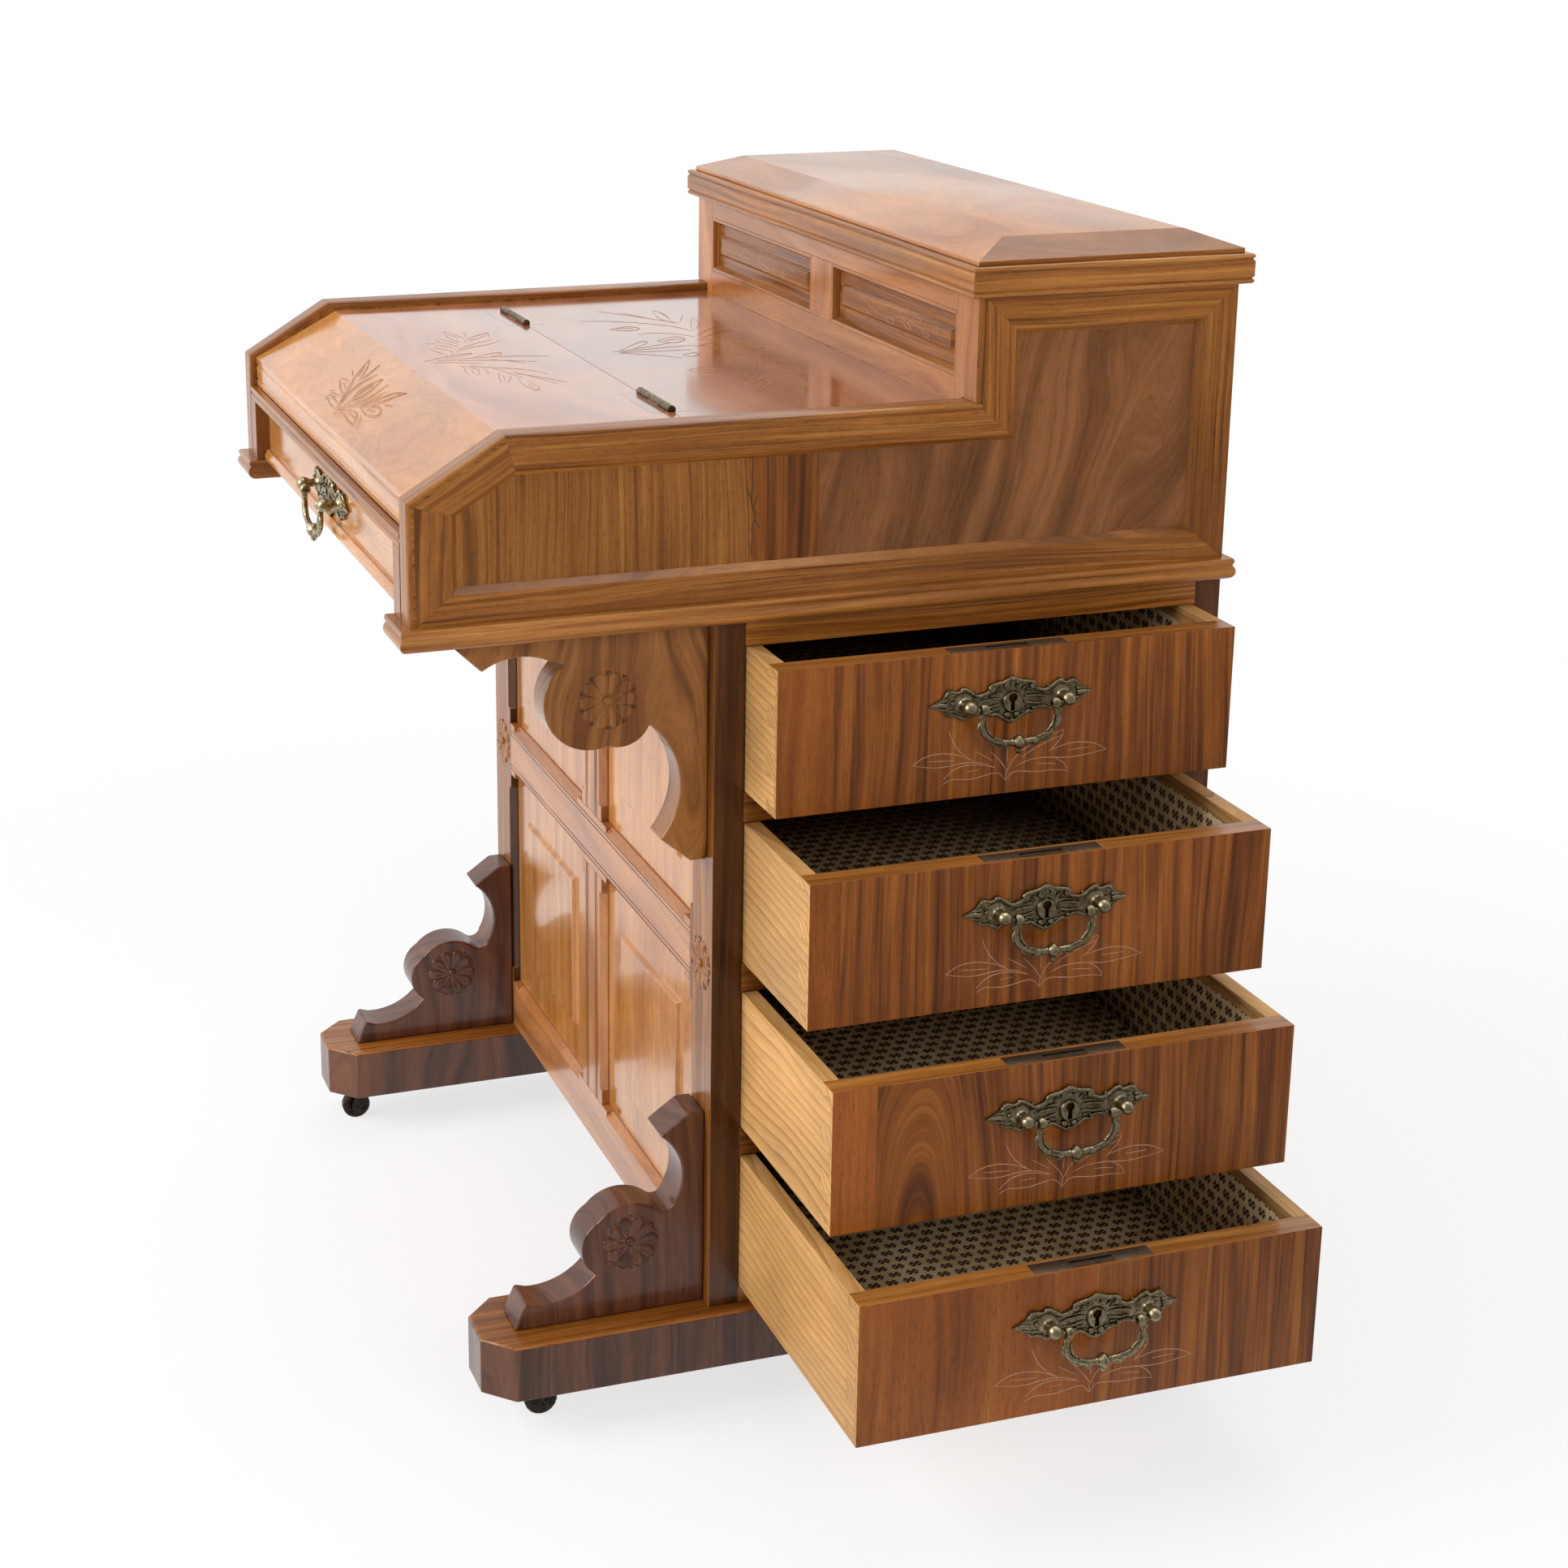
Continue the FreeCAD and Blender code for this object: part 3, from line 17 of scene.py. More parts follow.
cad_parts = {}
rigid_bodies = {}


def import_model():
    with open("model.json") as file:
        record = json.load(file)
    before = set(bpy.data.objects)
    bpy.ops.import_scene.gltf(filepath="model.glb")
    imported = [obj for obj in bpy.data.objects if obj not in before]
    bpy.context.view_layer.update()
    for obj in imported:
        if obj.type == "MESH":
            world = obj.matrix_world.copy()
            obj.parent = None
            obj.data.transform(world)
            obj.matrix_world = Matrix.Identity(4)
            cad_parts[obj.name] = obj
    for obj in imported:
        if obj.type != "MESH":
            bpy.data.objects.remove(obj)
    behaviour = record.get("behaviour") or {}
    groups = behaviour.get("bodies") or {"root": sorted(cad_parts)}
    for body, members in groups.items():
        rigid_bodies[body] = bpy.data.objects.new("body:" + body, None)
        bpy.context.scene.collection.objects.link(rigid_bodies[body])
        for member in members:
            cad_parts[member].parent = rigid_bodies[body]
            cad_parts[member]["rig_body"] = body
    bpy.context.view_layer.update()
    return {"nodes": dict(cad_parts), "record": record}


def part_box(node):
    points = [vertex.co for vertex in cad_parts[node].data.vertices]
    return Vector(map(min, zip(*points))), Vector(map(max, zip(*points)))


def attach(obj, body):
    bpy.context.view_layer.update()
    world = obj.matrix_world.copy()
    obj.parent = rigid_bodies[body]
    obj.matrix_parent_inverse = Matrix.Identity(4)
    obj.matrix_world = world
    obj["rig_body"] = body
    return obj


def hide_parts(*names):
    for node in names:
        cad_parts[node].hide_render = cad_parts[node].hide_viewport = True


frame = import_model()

# %% [markdown]
# ## Measures
#
# The drawings of the desk are in millimetres and Blender works in metres, so points are written in
# millimetres and turned to metres in one place. The same goes for colours: a colour is given as an
# sRGB hex value, and the shader wants linear light. X runs along the front of the desk, Y
# from the front to the back, and Z up.

# %% Millimetres and colours
UP, ACROSS, DEEP = (0, 0, 1), (1, 0, 0), (0, 1, 0)


def mm(x, y, z):
    """A point given in millimetres."""
    return Vector((x, y, z)) / 1000


def linear(code):
    """A linear colour from an sRGB hex value."""
    shares = [int(code[i:i + 2], 16) / 255 for i in (1, 3, 5)]
    return tuple(c / 12.92 if c <= 0.04045 else ((c + 0.055) / 1.055) ** 2.4 for c in shares) + (1,)


print("walnut brown is", [round(c, 3) for c in linear("#7d4a26")[:3]])

# %% [markdown]
# ## Objects and meshes
#
# A bmesh is Blender's workbench for shapes, and its result has to become a mesh and then an object
# before it can be seen. Three small helpers do these steps everywhere below.

# %% From the workbench to the scene
def put(name, data):
    """A new object in the scene."""
    item = bpy.data.objects.new(name, data)
    bpy.context.scene.collection.objects.link(item)
    return item


def to_mesh(name, bm):
    """The finished mesh of a bmesh, which is used up."""
    mesh = bpy.data.meshes.new(name)
    bm.to_mesh(mesh)
    bm.free()
    return mesh


def pour(bm, mesh):
    """Adds a mesh to a bmesh and throws the mesh away."""
    bm.from_mesh(mesh)
    bpy.data.meshes.remove(mesh)


print("units of the scene:", bpy.context.scene.unit_settings.length_unit)

# %% [markdown]
# ## The camera
#
# The photograph was taken from the drawer side, a little in front and above, with the camera level.
# A view camera does this with a large shift of its lens. A shift that large would push the desk out
# of every other view, so the camera stands at the same spot and is turned towards the desk, with a
# small shift that keeps the uprights a little straighter.

# %% Place the camera
def add_camera():
    """The view camera: its lens in mm, its place in mm and its turn and tilt in degrees."""
    lens = bpy.data.cameras.new("camera")
    lens.sensor_width, lens.lens = 36, 63.1
    lens.shift_x, lens.shift_y = 0.1, -0.1
    lens.clip_start = 0.05
    camera = put("camera", lens)
    camera.location = mm(2148, -764.2, 1221.2)
    turn, tilt = math.radians(18.1), math.radians(16.25)
    ahead = Vector((
        -math.cos(turn) * math.cos(tilt), math.sin(turn) * math.cos(tilt), -math.sin(tilt),
    ))
    camera.rotation_mode = "QUATERNION"
    camera.rotation_quaternion = ahead.to_track_quat("-Z", "Y")
    bpy.context.scene.camera = camera
    return camera


camera = add_camera()
print("camera at", [round(c, 3) for c in camera.location])

# %% [markdown]
# ## Nodes of a material
#
# Every finish is a small network of shader nodes. One function adds a node, sets its values and
# links its inputs, so that each recipe below reads from top to bottom like a list of steps.

# %% One helper for nodes
def add(tree, kind, values=None, links=None, stops=None):
    """Adds a node. Keys of values are its properties or inputs. Links come from a socket, or from a
    node's first output. Stops are the places and hex colours of a colour ramp."""
    node = tree.nodes.new("ShaderNode" + kind)
    for key, value in (values or {}).items():
        if isinstance(key, str) and hasattr(node, key):
            setattr(node, key, value)
        else:
            node.inputs[key].default_value = value
    for key, start in (links or {}).items():
        socket = start.outputs[0] if isinstance(start, bpy.types.Node) else start
        tree.links.new(socket, node.inputs[key])
    for k, (place, code) in enumerate(stops or []):
        elements = node.color_ramp.elements
        element = elements[k] if k < 2 else elements.new(place)
        element.position, element.color = place, linear(code)
    return node


def blank(name):
    """An empty material and its output node."""
    material = bpy.data.materials.new(name)
    material.use_nodes = True
    material.node_tree.nodes.clear()
    return material, material.node_tree, add(material.node_tree, "OutputMaterial")


print("helpers ready")

# %% [markdown]
# ## Polished wood
#
# A board is cut from a log, and what shows on its face are the log's growth rings, cut at a slant.
# So the pattern is built as in the log: the distance from the log's heart gives the rings, and slow
# waves push them out of round, which bends the streaks and closes them to arches. Thin dark lines
# and short pores follow the same rings. French polish over walnut is thin and glossy, with dull
# hand-worn patches. The grain has its own direction on each board, so the pattern is read from an
# attribute that every board gets below, and not from the desk's own axes.

# %% A recipe for wood
def wood(name, stops, streak, figure=8.0, lines=0.5, pores=0.3, patch=0.1, rough=0.28,
         polish=0.4, relief=0.25, rings=0.0):
    """A wood finish. stops are its colours from dark to pale streaks. In mm, streak is the width
    of the soft bands, figure how far the rings are pushed out of round, and rings the ring pitch
    of a softwood. lines, pores and patch are how much thin lines, pores and wear change the tone,
    and rough, polish and relief describe the surface."""
    material, tree, output = blank(name)
    grain = add(tree, "Attribute", {"attribute_name": "grain"}).outputs["Vector"]
    tone = add(tree, "Attribute", {"attribute_name": "tone"}).outputs["Fac"]
    # scales count repeats per metre: the slow waves are 385 mm long and 125 mm across
    slow = add(tree, "Mapping", {"Scale": (2.6, 8, 8)}, {"Vector": grain})
    wave = add(tree, "TexNoise", {"Scale": 1.0, "Detail": 2.0}, {"Vector": slow})
    push = add(tree, "MapRange", {
        "From Min": 0.3, "From Max": 0.7, "To Min": -figure / 1000, "To Max": figure / 1000,
    }, {"Value": wave.outputs["Fac"]})
    flat = add(tree, "Mapping", {"Scale": (0, 1, 1)}, {"Vector": grain})
    heart = add(tree, "VectorMath", {"operation": "LENGTH"}, {0: flat})
    ring = add(tree, "Math", {"operation": "ADD"}, {0: heart.outputs["Value"], 1: push})
    # the place in the log: along the trunk, and out from the heart through the pushed rings
    along = add(tree, "SeparateXYZ", links={0: grain})
    log = add(tree, "CombineXYZ", links={"X": along.outputs[0], "Y": ring})
    wide = 1000 / streak
    broad = add(tree, "Mapping", {"Scale": (3, wide, 1)}, {"Vector": log})
    band = add(tree, "TexNoise", {"Scale": 1.0, "Detail": 4.0, "Roughness": 0.6},
               {"Vector": broad})
    level = band.outputs["Fac"]
    if rings:
        # pine: pale early wood that darkens slowly to a thin hard edge at each ring
        pitch = add(tree, "Mapping", {"Scale": (0, 1000 / rings, 1)}, {"Vector": log})
        saw = add(tree, "TexWave", {
            "wave_profile": "SAW", "bands_direction": "Y", "Scale": 0.314, "Distortion": 0.6,
            "Detail": 1.0, "Detail Scale": 0.3,
        }, {"Vector": pitch})
        level = add(tree, "Mix", {"Factor": 0.4}, {"A": saw.outputs["Fac"], "B": level}).outputs[0]
    colour = add(tree, "ValToRGB", links={"Fac": level}, stops=stops)
    narrow = add(tree, "Mapping", {"Scale": (5, wide * 2.7, 1)}, {"Vector": log})
    thin = add(tree, "TexNoise", {"Scale": 1.0, "Detail": 3.0}, {"Vector": narrow})
    line = add(tree, "MapRange", {"From Min": 0.53, "From Max": 0.72, "To Max": lines},
               {"Value": thin.outputs["Fac"]})
    # fibres of 22 by 1 mm, pores of 8 by 0.7 mm, and worn patches of 140 by 90 mm
    fine = add(tree, "Mapping", {"Scale": (45, 1000, 1)}, {"Vector": log})
    fibre = add(tree, "TexNoise", {"Scale": 1.0, "Detail": 3.0}, {"Vector": fine})
    dashes = add(tree, "Mapping", {"Scale": (130, 1400, 1400)}, {"Vector": grain})
    pore = add(tree, "TexNoise", {"Scale": 1.0, "Detail": 1.0}, {"Vector": dashes})
    dash = add(tree, "MapRange", {"From Min": 0.60, "From Max": 0.74, "To Max": pores},
               {"Value": pore.outputs["Fac"]})
    cloudy = add(tree, "Mapping", {"Scale": (7, 11, 11)}, {"Vector": grain})
    cloud = add(tree, "TexNoise", {"Scale": 1.0, "Detail": 3.0}, {"Vector": cloudy})
    worn = add(tree, "MapRange", {
        "From Min": 0.3, "From Max": 0.7, "To Min": 1 - patch, "To Max": 1 + patch,
    }, {"Value": cloud.outputs["Fac"]})
    light = add(tree, "MapRange", {
        "From Min": 0.3, "From Max": 0.7, "To Min": 0.86, "To Max": 1.12,
    }, {"Value": fibre.outputs["Fac"]})
    value = worn
    for share, source in ((None, light), (0.1, tone), (-1.0, line), (-1.0, dash)):
        factor = source if share is None else add(
            tree, "Math", {"operation": "MULTIPLY_ADD", 1: share, 2: 1.0}, {0: source})
        value = add(tree, "Math", {"operation": "MULTIPLY"}, {0: value, 1: factor})
    shade = add(tree, "HueSaturation", links={"Color": colour, "Value": value})
    dull = add(tree, "MapRange", {
        "From Min": 0.3, "From Max": 0.7, "To Min": rough - 0.06, "To Max": rough + 0.1,
    }, {"Value": cloud.outputs["Fac"]})
    height = add(tree, "Math", {"operation": "SUBTRACT"}, {0: fibre.outputs["Fac"], 1: dash})
    bump = add(tree, "Bump", {"Strength": relief, "Distance": 0.00012}, {"Height": height})
    shader = add(tree, "BsdfPrincipled", {
        "IOR": 1.5, "Specular IOR Level": 0.35, "Coat Weight": polish, "Coat Roughness": 0.1,
    }, {"Base Color": shade, "Roughness": dull, "Normal": bump})
    tree.links.new(shader.outputs[0], output.inputs[0])
    return material


print("wood recipe ready")

# %% [markdown]
# The desk is walnut all over, but veneer, stain, sun and hands have given its parts different
# browns. Two finishes also carry painted light: the stiles' sides are darkened as painted shade, and
# the mouldings are lightened against the shade under their beads. Each finish is four colours, from
# the dark streaks to the pale ones, and the real width of its streaks. The drawer boxes are pine.

# %% Mix the walnuts and the pine
# walnut frame members: golden brown with thin dark lines along each member
frame_walnut = wood("polished_walnut_frame", [
    (0.30, "#643710"), (0.45, "#834c19"), (0.58, "#995f25"), (0.72, "#aa7235"),
], streak=5, figure=4, lines=0.65, pores=0.4, polish=0.2)
# the side faces of the stiles beside the drawers: browner than the frame, and darkened further as
# painted shade
shaded_stile_walnut = wood("brown_walnut_stile_painted_shade", [
    (0.30, "#321a0a"), (0.45, "#482810"), (0.58, "#593316"), (0.72, "#683f1e"),
], streak=10, figure=4, lines=0.4, polish=0.2)
# plain-sawn veneer at the front of the sides: olive brown with straight streaks
side_walnut = wood("straight_walnut_veneer", [
    (0.28, "#5f3912"), (0.45, "#7e4b18"), (0.58, "#8f5a22"), (0.74, "#a06b2f"),
], streak=6, figure=9, lines=0.45, pores=0.5, patch=0.15, polish=0.2)
# the leaf behind it crosses a root: its streaks swirl and go grey-brown
swirl_walnut = wood("swirled_walnut_veneer", [
    (0.26, "#552f15"), (0.44, "#724520"), (0.56, "#84522b"), (0.74, "#956239"),
], streak=22, figure=30, lines=0.25, pores=0.4, patch=0.25, polish=0.25)
# veneer of the drawer fronts: redder, with groups of straight dark streaks
drawer_walnut = wood("red_walnut_veneer", [
    (0.28, "#4a2308"), (0.42, "#6a370c"), (0.55, "#824712"), (0.72, "#985a1c"),
], streak=9, figure=6, lines=0.55, polish=0.2)
# leaves of the same veneer cut from plainer wood: warm and even, with short dark pores
plain_walnut = wood("plain_red_veneer", [
    (0.28, "#73390b"), (0.44, "#84450f"), (0.56, "#8f4e14"), (0.74, "#9a5a1c"),
], streak=16, figure=10, lines=0.2, pores=0.45, patch=0.2, polish=0.2)
# mouldings: as the frame, but paler, a painted lightening against the shade under their beads
moulding_walnut = wood("lightened_walnut_moulding", [
    (0.30, "#754417"), (0.45, "#955b25"), (0.58, "#aa6e32"), (0.72, "#bc8344"),
], streak=7, figure=4, lines=0.55, polish=0.25)
# the writing surface: reddish brown, rubbed and glossy
surface_walnut = wood("reddish_walnut_top", [
    (0.28, "#804426"), (0.44, "#9c5a36"), (0.56, "#ab683f"), (0.72, "#b9784d"),
], streak=26, figure=30, lines=0.2, patch=0.08, rough=0.16, polish=1.0, relief=0.12)
# pale honey walnut, bleached by light: slope, front drawer and pedestal front
honey_walnut = wood("honey_walnut", [
    (0.28, "#985a22"), (0.44, "#b27234"), (0.56, "#c18141"), (0.72, "#cd9253"),
], streak=16, figure=9, lines=0.2, pores=0.4, patch=0.08, rough=0.2, polish=0.6, relief=0.15)
# the lid's veneer, a little browner than the slope
lid_walnut = wood("lid_walnut", [
    (0.28, "#8a5026"), (0.44, "#a36636"), (0.56, "#b27542"), (0.72, "#bf8450"),
], streak=24, figure=30, lines=0.18, patch=0.08, rough=0.24, polish=0.4, relief=0.12)
# dark stained walnut of brackets and feet
dark_walnut = wood("dark_stained_walnut", [
    (0.28, "#331a12"), (0.42, "#482718"), (0.54, "#5c3521"), (0.72, "#72462b"),
], streak=11, figure=14, lines=0.45, rough=0.3, polish=0.35)
upper_walnut = wood("brown_walnut_scroll", [
    (0.28, "#4f2b12"), (0.42, "#6f421c"), (0.54, "#865326"), (0.72, "#9a6632"),
], streak=12, figure=26, lines=0.4, rough=0.26, polish=0.35)
# pine of the drawer boxes: straw wood with darker growth rings
pine = wood("aged_pine", [
    (0.10, "#cda067"), (0.55, "#c49357"), (0.76, "#b37f45"), (0.90, "#945f2e"),
], streak=34, figure=12, lines=0.12, pores=0.05, patch=0.18, rough=0.5, polish=0.0, rings=7.5,
    relief=0.4)
print("woods:", [m.name for m in bpy.data.materials])

# %% [markdown]
# ## Boards with grain and soft edges
#
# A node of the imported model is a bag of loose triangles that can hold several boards. Each board is
# a closed shell, so its triangles are gathered until no edge is left open. Then the copy is merged,
# its flat faces are made whole, and two numbers are written on each corner: where it lies along and
# across the grain, and how light the board is. A small bevel gives the rubbed edge that catches the
# light and leaves a fine dark line where two boards meet.

# %% Split a node into boards
def shells(mesh):
    """The closed shells of a mesh of loose triangles, as lists of polygons."""
    def place(i):
        c = mesh.vertices[i].co
        return (round(c.x * 1e6), round(c.y * 1e6), round(c.z * 1e6))

    open_edges = {}
    found, current = [], []
    for polygon in mesh.polygons:
        corners = [place(i) for i in polygon.vertices]
        current.append([mesh.vertices[i].co.copy() for i in polygon.vertices])
        for a, b in zip(corners, corners[1:] + corners[:1]):
            if open_edges.get((b, a)):
                open_edges[(b, a)] -= 1
                if not open_edges[(b, a)]:
                    del open_edges[(b, a)]
            else:
                open_edges[(a, b)] = open_edges.get((a, b), 0) + 1
        if not open_edges:
            found.append(current)
            current = []
    return found


print("side frames hold", len(shells(frame["nodes"]["side_frames"].data)), "members")

# %% Soft edges, grain and tone
def finish_mesh(name, bm, body, material, sharp=35):
    """Turns a bmesh to an object that rides on a body, smooth but for its sharp edges."""
    mesh = to_mesh(name, bm)
    piece = put(name, mesh)
    for m in material if isinstance(material, list) else [material]:
        mesh.materials.append(m)
    for polygon in mesh.polygons:
        polygon.use_smooth = True
    mesh.set_sharp_from_angle(angle=math.radians(sharp))
    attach(piece, body)
    return piece


def soften(piece, width, segments=2):
    """A live bevel on the sharp edges, with normals that keep the flats flat."""
    bevel = piece.modifiers.new("soft_edges", "BEVEL")
    bevel.width = width / 1000
    bevel.segments = segments
    bevel.limit_method = "ANGLE"
    bevel.angle_limit = math.radians(32)
    bevel.harden_normals = True
    return piece


def slot_of(node):
    """The record's material slot of a node."""
    return next(s["material_slot"] for s in frame["record"]["subparts"] if s["node"] == node)


def log_place(chance):
    """Where in its log a board was cut, in metres from the heart, and how light it is."""
    reach, angle = chance.uniform(0.5, 0.9), chance.uniform(0.7, 1.1)
    place = Vector((chance.uniform(-3, 3), reach * math.cos(angle), reach * math.sin(angle)))
    return place, chance.uniform(-1, 1)


def grain_axes(way):
    """The grain's direction and the two directions across it."""
    way = Vector(way).normalized()
    side = way.cross(Vector(UP if abs(way.z) < 0.8 else DEEP)).normalized()
    return way, side, side.cross(way)


def grain_layers(bm):
    """The two layers that a wood reads: the place in the log, and how light the board is."""
    return bm.loops.layers.float_vector.new("grain"), bm.loops.layers.float.new("tone")


def write_corners(face, layers, axes, shift, light):
    """Writes grain and tone on a face's corners."""
    grain, tone = layers
    for loop in face.loops:
        loop[grain] = Vector([loop.vert.co.dot(axis) for axis in axes]) + shift
        loop[tone] = light


print("slot of the feet:", slot_of("feet"))

# %% Dress a node
def dress(node, material, along=None, edge=0.5, pick=None, seams=(), flame=None):
    """Replaces a node with a merged copy that has grain, tone and soft edges.

    along is the grain's direction, or a function of a face's centre and normal that gives it. None
    stands for the longest edge of each board. pick gives a face's material index. seams are places
    along Y, in mm, where one leaf of veneer ends and the next begins. flame is the place along Y,
    in mm, of the log's heart under the second leaf, which was cut aslant so that rings close to
    arches.
    """
    aslant, beside_heart = (0.25, 0, 1), 8
    source = frame["nodes"][node]
    chance = random.Random(node)
    whole = bmesh.new()
    layers = grain_layers(whole)
    for triangles in shells(source.data):
        part = bmesh.new()
        for corners in triangles:
            part.faces.new([part.verts.new(c) for c in corners])
        bmesh.ops.remove_doubles(part, verts=part.verts, dist=2e-6)
        bmesh.ops.dissolve_limit(
            part, angle_limit=math.radians(0.5), verts=part.verts, edges=part.edges,
        )
        longest = max(part.edges, key=lambda e: e.calc_length())
        length_way = (longest.verts[1].co - longest.verts[0].co).normalized()
        lowest = min(v.co.z for v in part.verts)
        for seam in seams:
            bmesh.ops.bisect_plane(
                part, geom=part.verts[:] + part.edges[:] + part.faces[:],
                plane_co=mm(0, seam, 0), plane_no=(0, 1, 0),
            )
        part.normal_update()
        leaves = [log_place(chance) for _ in range(len(seams) + 1)]
        copies = {v: whole.verts.new(v.co) for v in part.verts}
        for face in part.faces:
            new = whole.faces.new([copies[v] for v in face.verts])
            centre = face.calc_center_median()
            way = along(centre, face.normal) if callable(along) else along
            veneered = abs(face.normal.x) > 0.5
            leaf = sum(veneered and centre.y > seam / 1000 for seam in seams)
            shift, light = leaves[leaf]
            arched = flame is not None and leaf == 1
            axes = grain_axes(aslant if arched else way or length_way)
            if arched:
                heart = Vector((centre.x, flame / 1000, lowest))
                shift = Vector((0, beside_heart / 1000 - heart.dot(axes[1]), -heart.dot(axes[2])))
            if pick:
                new.material_index = pick(centre, face.normal)
            write_corners(new, layers, axes, shift, light)
        part.free()
    piece = finish_mesh(node + "_dressed", whole, source["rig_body"], material)
    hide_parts(node)
    if edge:
        soften(piece, edge)
    return piece


# %% [markdown]
# ## The writing case
#
# The sides are veneered with the grain upright, and their frame members have it along their length.
# On the flap the sloping front and its apron have bleached to honey, while the flat part has stayed
# reddish, so one board carries two finishes, chosen by how far forward a face lies.

# %% Dress the sides and their frames
side_seams = (-64.8, -11.4)
dress("case_sides", [side_walnut, drawer_walnut, swirl_walnut],
      lambda c, n: (0, 0.3, 1) if c.y > 0 else UP, seams=side_seams,
      pick=lambda c, n: sum(c.y * 1000 > seam for seam in side_seams))

case_front, slope_foot, writing_top = -327.5, 762.5, 807
slope_run, slope_rise = 73, writing_top - slope_foot
lipping, gallery_foot = 6, 102.5


def lipping_grain(centre, normal):
    """The thin lipping bends round the open edges of the sides, and its grain bends with it."""
    y, z = centre.y * 1000 - case_front, centre.z * 1000 - slope_foot
    if y < lipping:
        return UP
    if abs(y * slope_rise - z * slope_run) < lipping * math.hypot(slope_run, slope_rise):
        return (0, slope_run, slope_rise)
    return DEEP if z > slope_rise - lipping and y < gallery_foot - case_front else None


dress("side_frames", frame_walnut, lipping_grain, edge=0.6)
print("sides dressed, with a slope of", slope_rise, "in", slope_run, "mm")

# %% Dress the rest of the case
panel_face, mitred, facing = 0.1125, 0.15, 0.2
dress("case_boards", pine)
dress("case_front_members", frame_walnut)
dress("case_back", frame_walnut)
dress("gallery_front", [lid_walnut, frame_walnut], pick=lambda c, n: 1 if c.y > panel_face else 0)
dress("stationery_dividers", frame_walnut)
dress("base_moulding", moulding_walnut, edge=0.4)
dress("rear_writing_board", surface_walnut, ACROSS, edge=0.4)
dress("writing_flap", [surface_walnut, honey_walnut], ACROSS, edge=0.6,
      pick=lambda c, n: 1 if n.y < -facing else 0)
# the lid's veneer is mitred: on the end bevels the grain runs across the others
dress("lid_top", [lid_walnut, frame_walnut], lambda c, n: DEEP if abs(n.x) > mitred else ACROSS,
      edge=0.7, pick=lambda c, n: 1 if abs(n.x) > mitred else 0)
dress("lid_moulding", moulding_walnut, edge=0.4)
print("case dressed")

# %% [markdown]
# ## Pedestal, feet and drawers
#
# The drawer fronts are pine boards with red walnut veneer on the face and brown walnut on the upper
# edge. Where one leaf of veneer wasn't wide enough, the next was laid beside it, and the seams show
# as breaks in the streaks. The feet are stained dark, but their tops have kept the frame's colour.

# %% Dress the pedestal and feet
def is_side(c, n):
    return 1 if abs(n.x) > 0.5 else 0


def is_top(c, n):
    return 1 if n.z > 0.5 else 0


# the posts' side faces take the darker stile walnut, which holds painted shade
dress("pedestal_posts", [frame_walnut, shaded_stile_walnut], UP, pick=is_side)
dress("pedestal_front_frame", lid_walnut, edge=0.7)
dress("pedestal_front_panels", honey_walnut, UP, edge=0.7)
dress("drawer_rails", frame_walnut)
dress("drawer_runners", pine)
dress("pedestal_boards", pine)
dress("pedestal_back", frame_walnut)
dress("dummy_drawer_fronts", drawer_walnut, UP)
dress("feet", [dark_walnut, frame_walnut], lambda c, n: DEEP if is_top(c, n) else UP, edge=1.0,
      pick=is_top)
print("pedestal dressed")

# %% Dress the drawers
leaf_seams = {1: (-25, 245), 2: (-45,), 3: (-35, 215), 4: (120,)}
for n, seams in leaf_seams.items():
    first_leaf = seams[0] / 1000
    dress(f"drawer_{n}_front", [drawer_walnut, moulding_walnut, pine, plain_walnut],
          lambda c, n: UP if is_side(c, n) else DEEP, seams=seams, flame=0 if n == 3 else None,
          pick=lambda c, n: (3 if c.y < first_leaf else 0) if n.x > 0.5 else 2 - is_top(c, n))
    dress(f"drawer_{n}_box", pine)
dress("front_drawer_front", [honey_walnut, pine], ACROSS, pick=lambda c, n: 0 if n.y < 0.5 else 1)
dress("front_drawer_box", pine)
print("drawers dressed, with", sum(len(s) for s in leaf_seams.values()), "seams")

# %% [markdown]
# ## Scroll brackets
#
# Each bracket was sawn from a plank along a drawn outline of hollows and scrolls, and its edges
# were then rounded over. The outline is given in shares of the bracket's length and height, so the
# arcs are rounded here with short steps, the outline becomes one face, and that face is extruded to
# the plank's thickness. The live bevel rounds its edges.

# %% Draw the outlines
def arc(a, b, c, step):
    """Points on the arc from a through b to c, without a itself. Points are (u, v) pairs."""
    (ax, ay), (bx, by), (cx, cy) = a, b, c
    twice = 2 * (ax * (by - cy) + bx * (cy - ay) + cx * (ay - by))
    aa, bb, cc = (x * x + y * y for x, y in (a, b, c))
    ux = (aa * (by - cy) + bb * (cy - ay) + cc * (ay - by)) / twice
    uy = (aa * (cx - bx) + bb * (ax - cx) + cc * (bx - ax)) / twice
    r = math.hypot(ax - ux, ay - uy)
    start, mid, end = (math.atan2(y - uy, x - ux) for x, y in (a, b, c))
    turn = (end - start) % math.tau
    if (mid - start) % math.tau > turn:
        turn -= math.tau
    count = max(2, round(abs(turn) * r / step))
    angles = [start + turn * k / count for k in range(1, count + 1)]
    return [(ux + r * math.cos(angle), uy + r * math.sin(angle)) for angle in angles]


def outline(start, steps, size, short_step=3.0):
    """An outline in mm from steps of (end,) or (middle, end) in shares of length and height."""
    length, height = size
    points = [(start[0] * length, start[1] * height)]
    for step in steps:
        scaled = [(u * length, v * height) for u, v in step]
        if len(scaled) == 1:
            points.append(scaled[0])
        else:
            points.extend(arc(points[-1], scaled[0], scaled[1], short_step))
    return points[:-1]


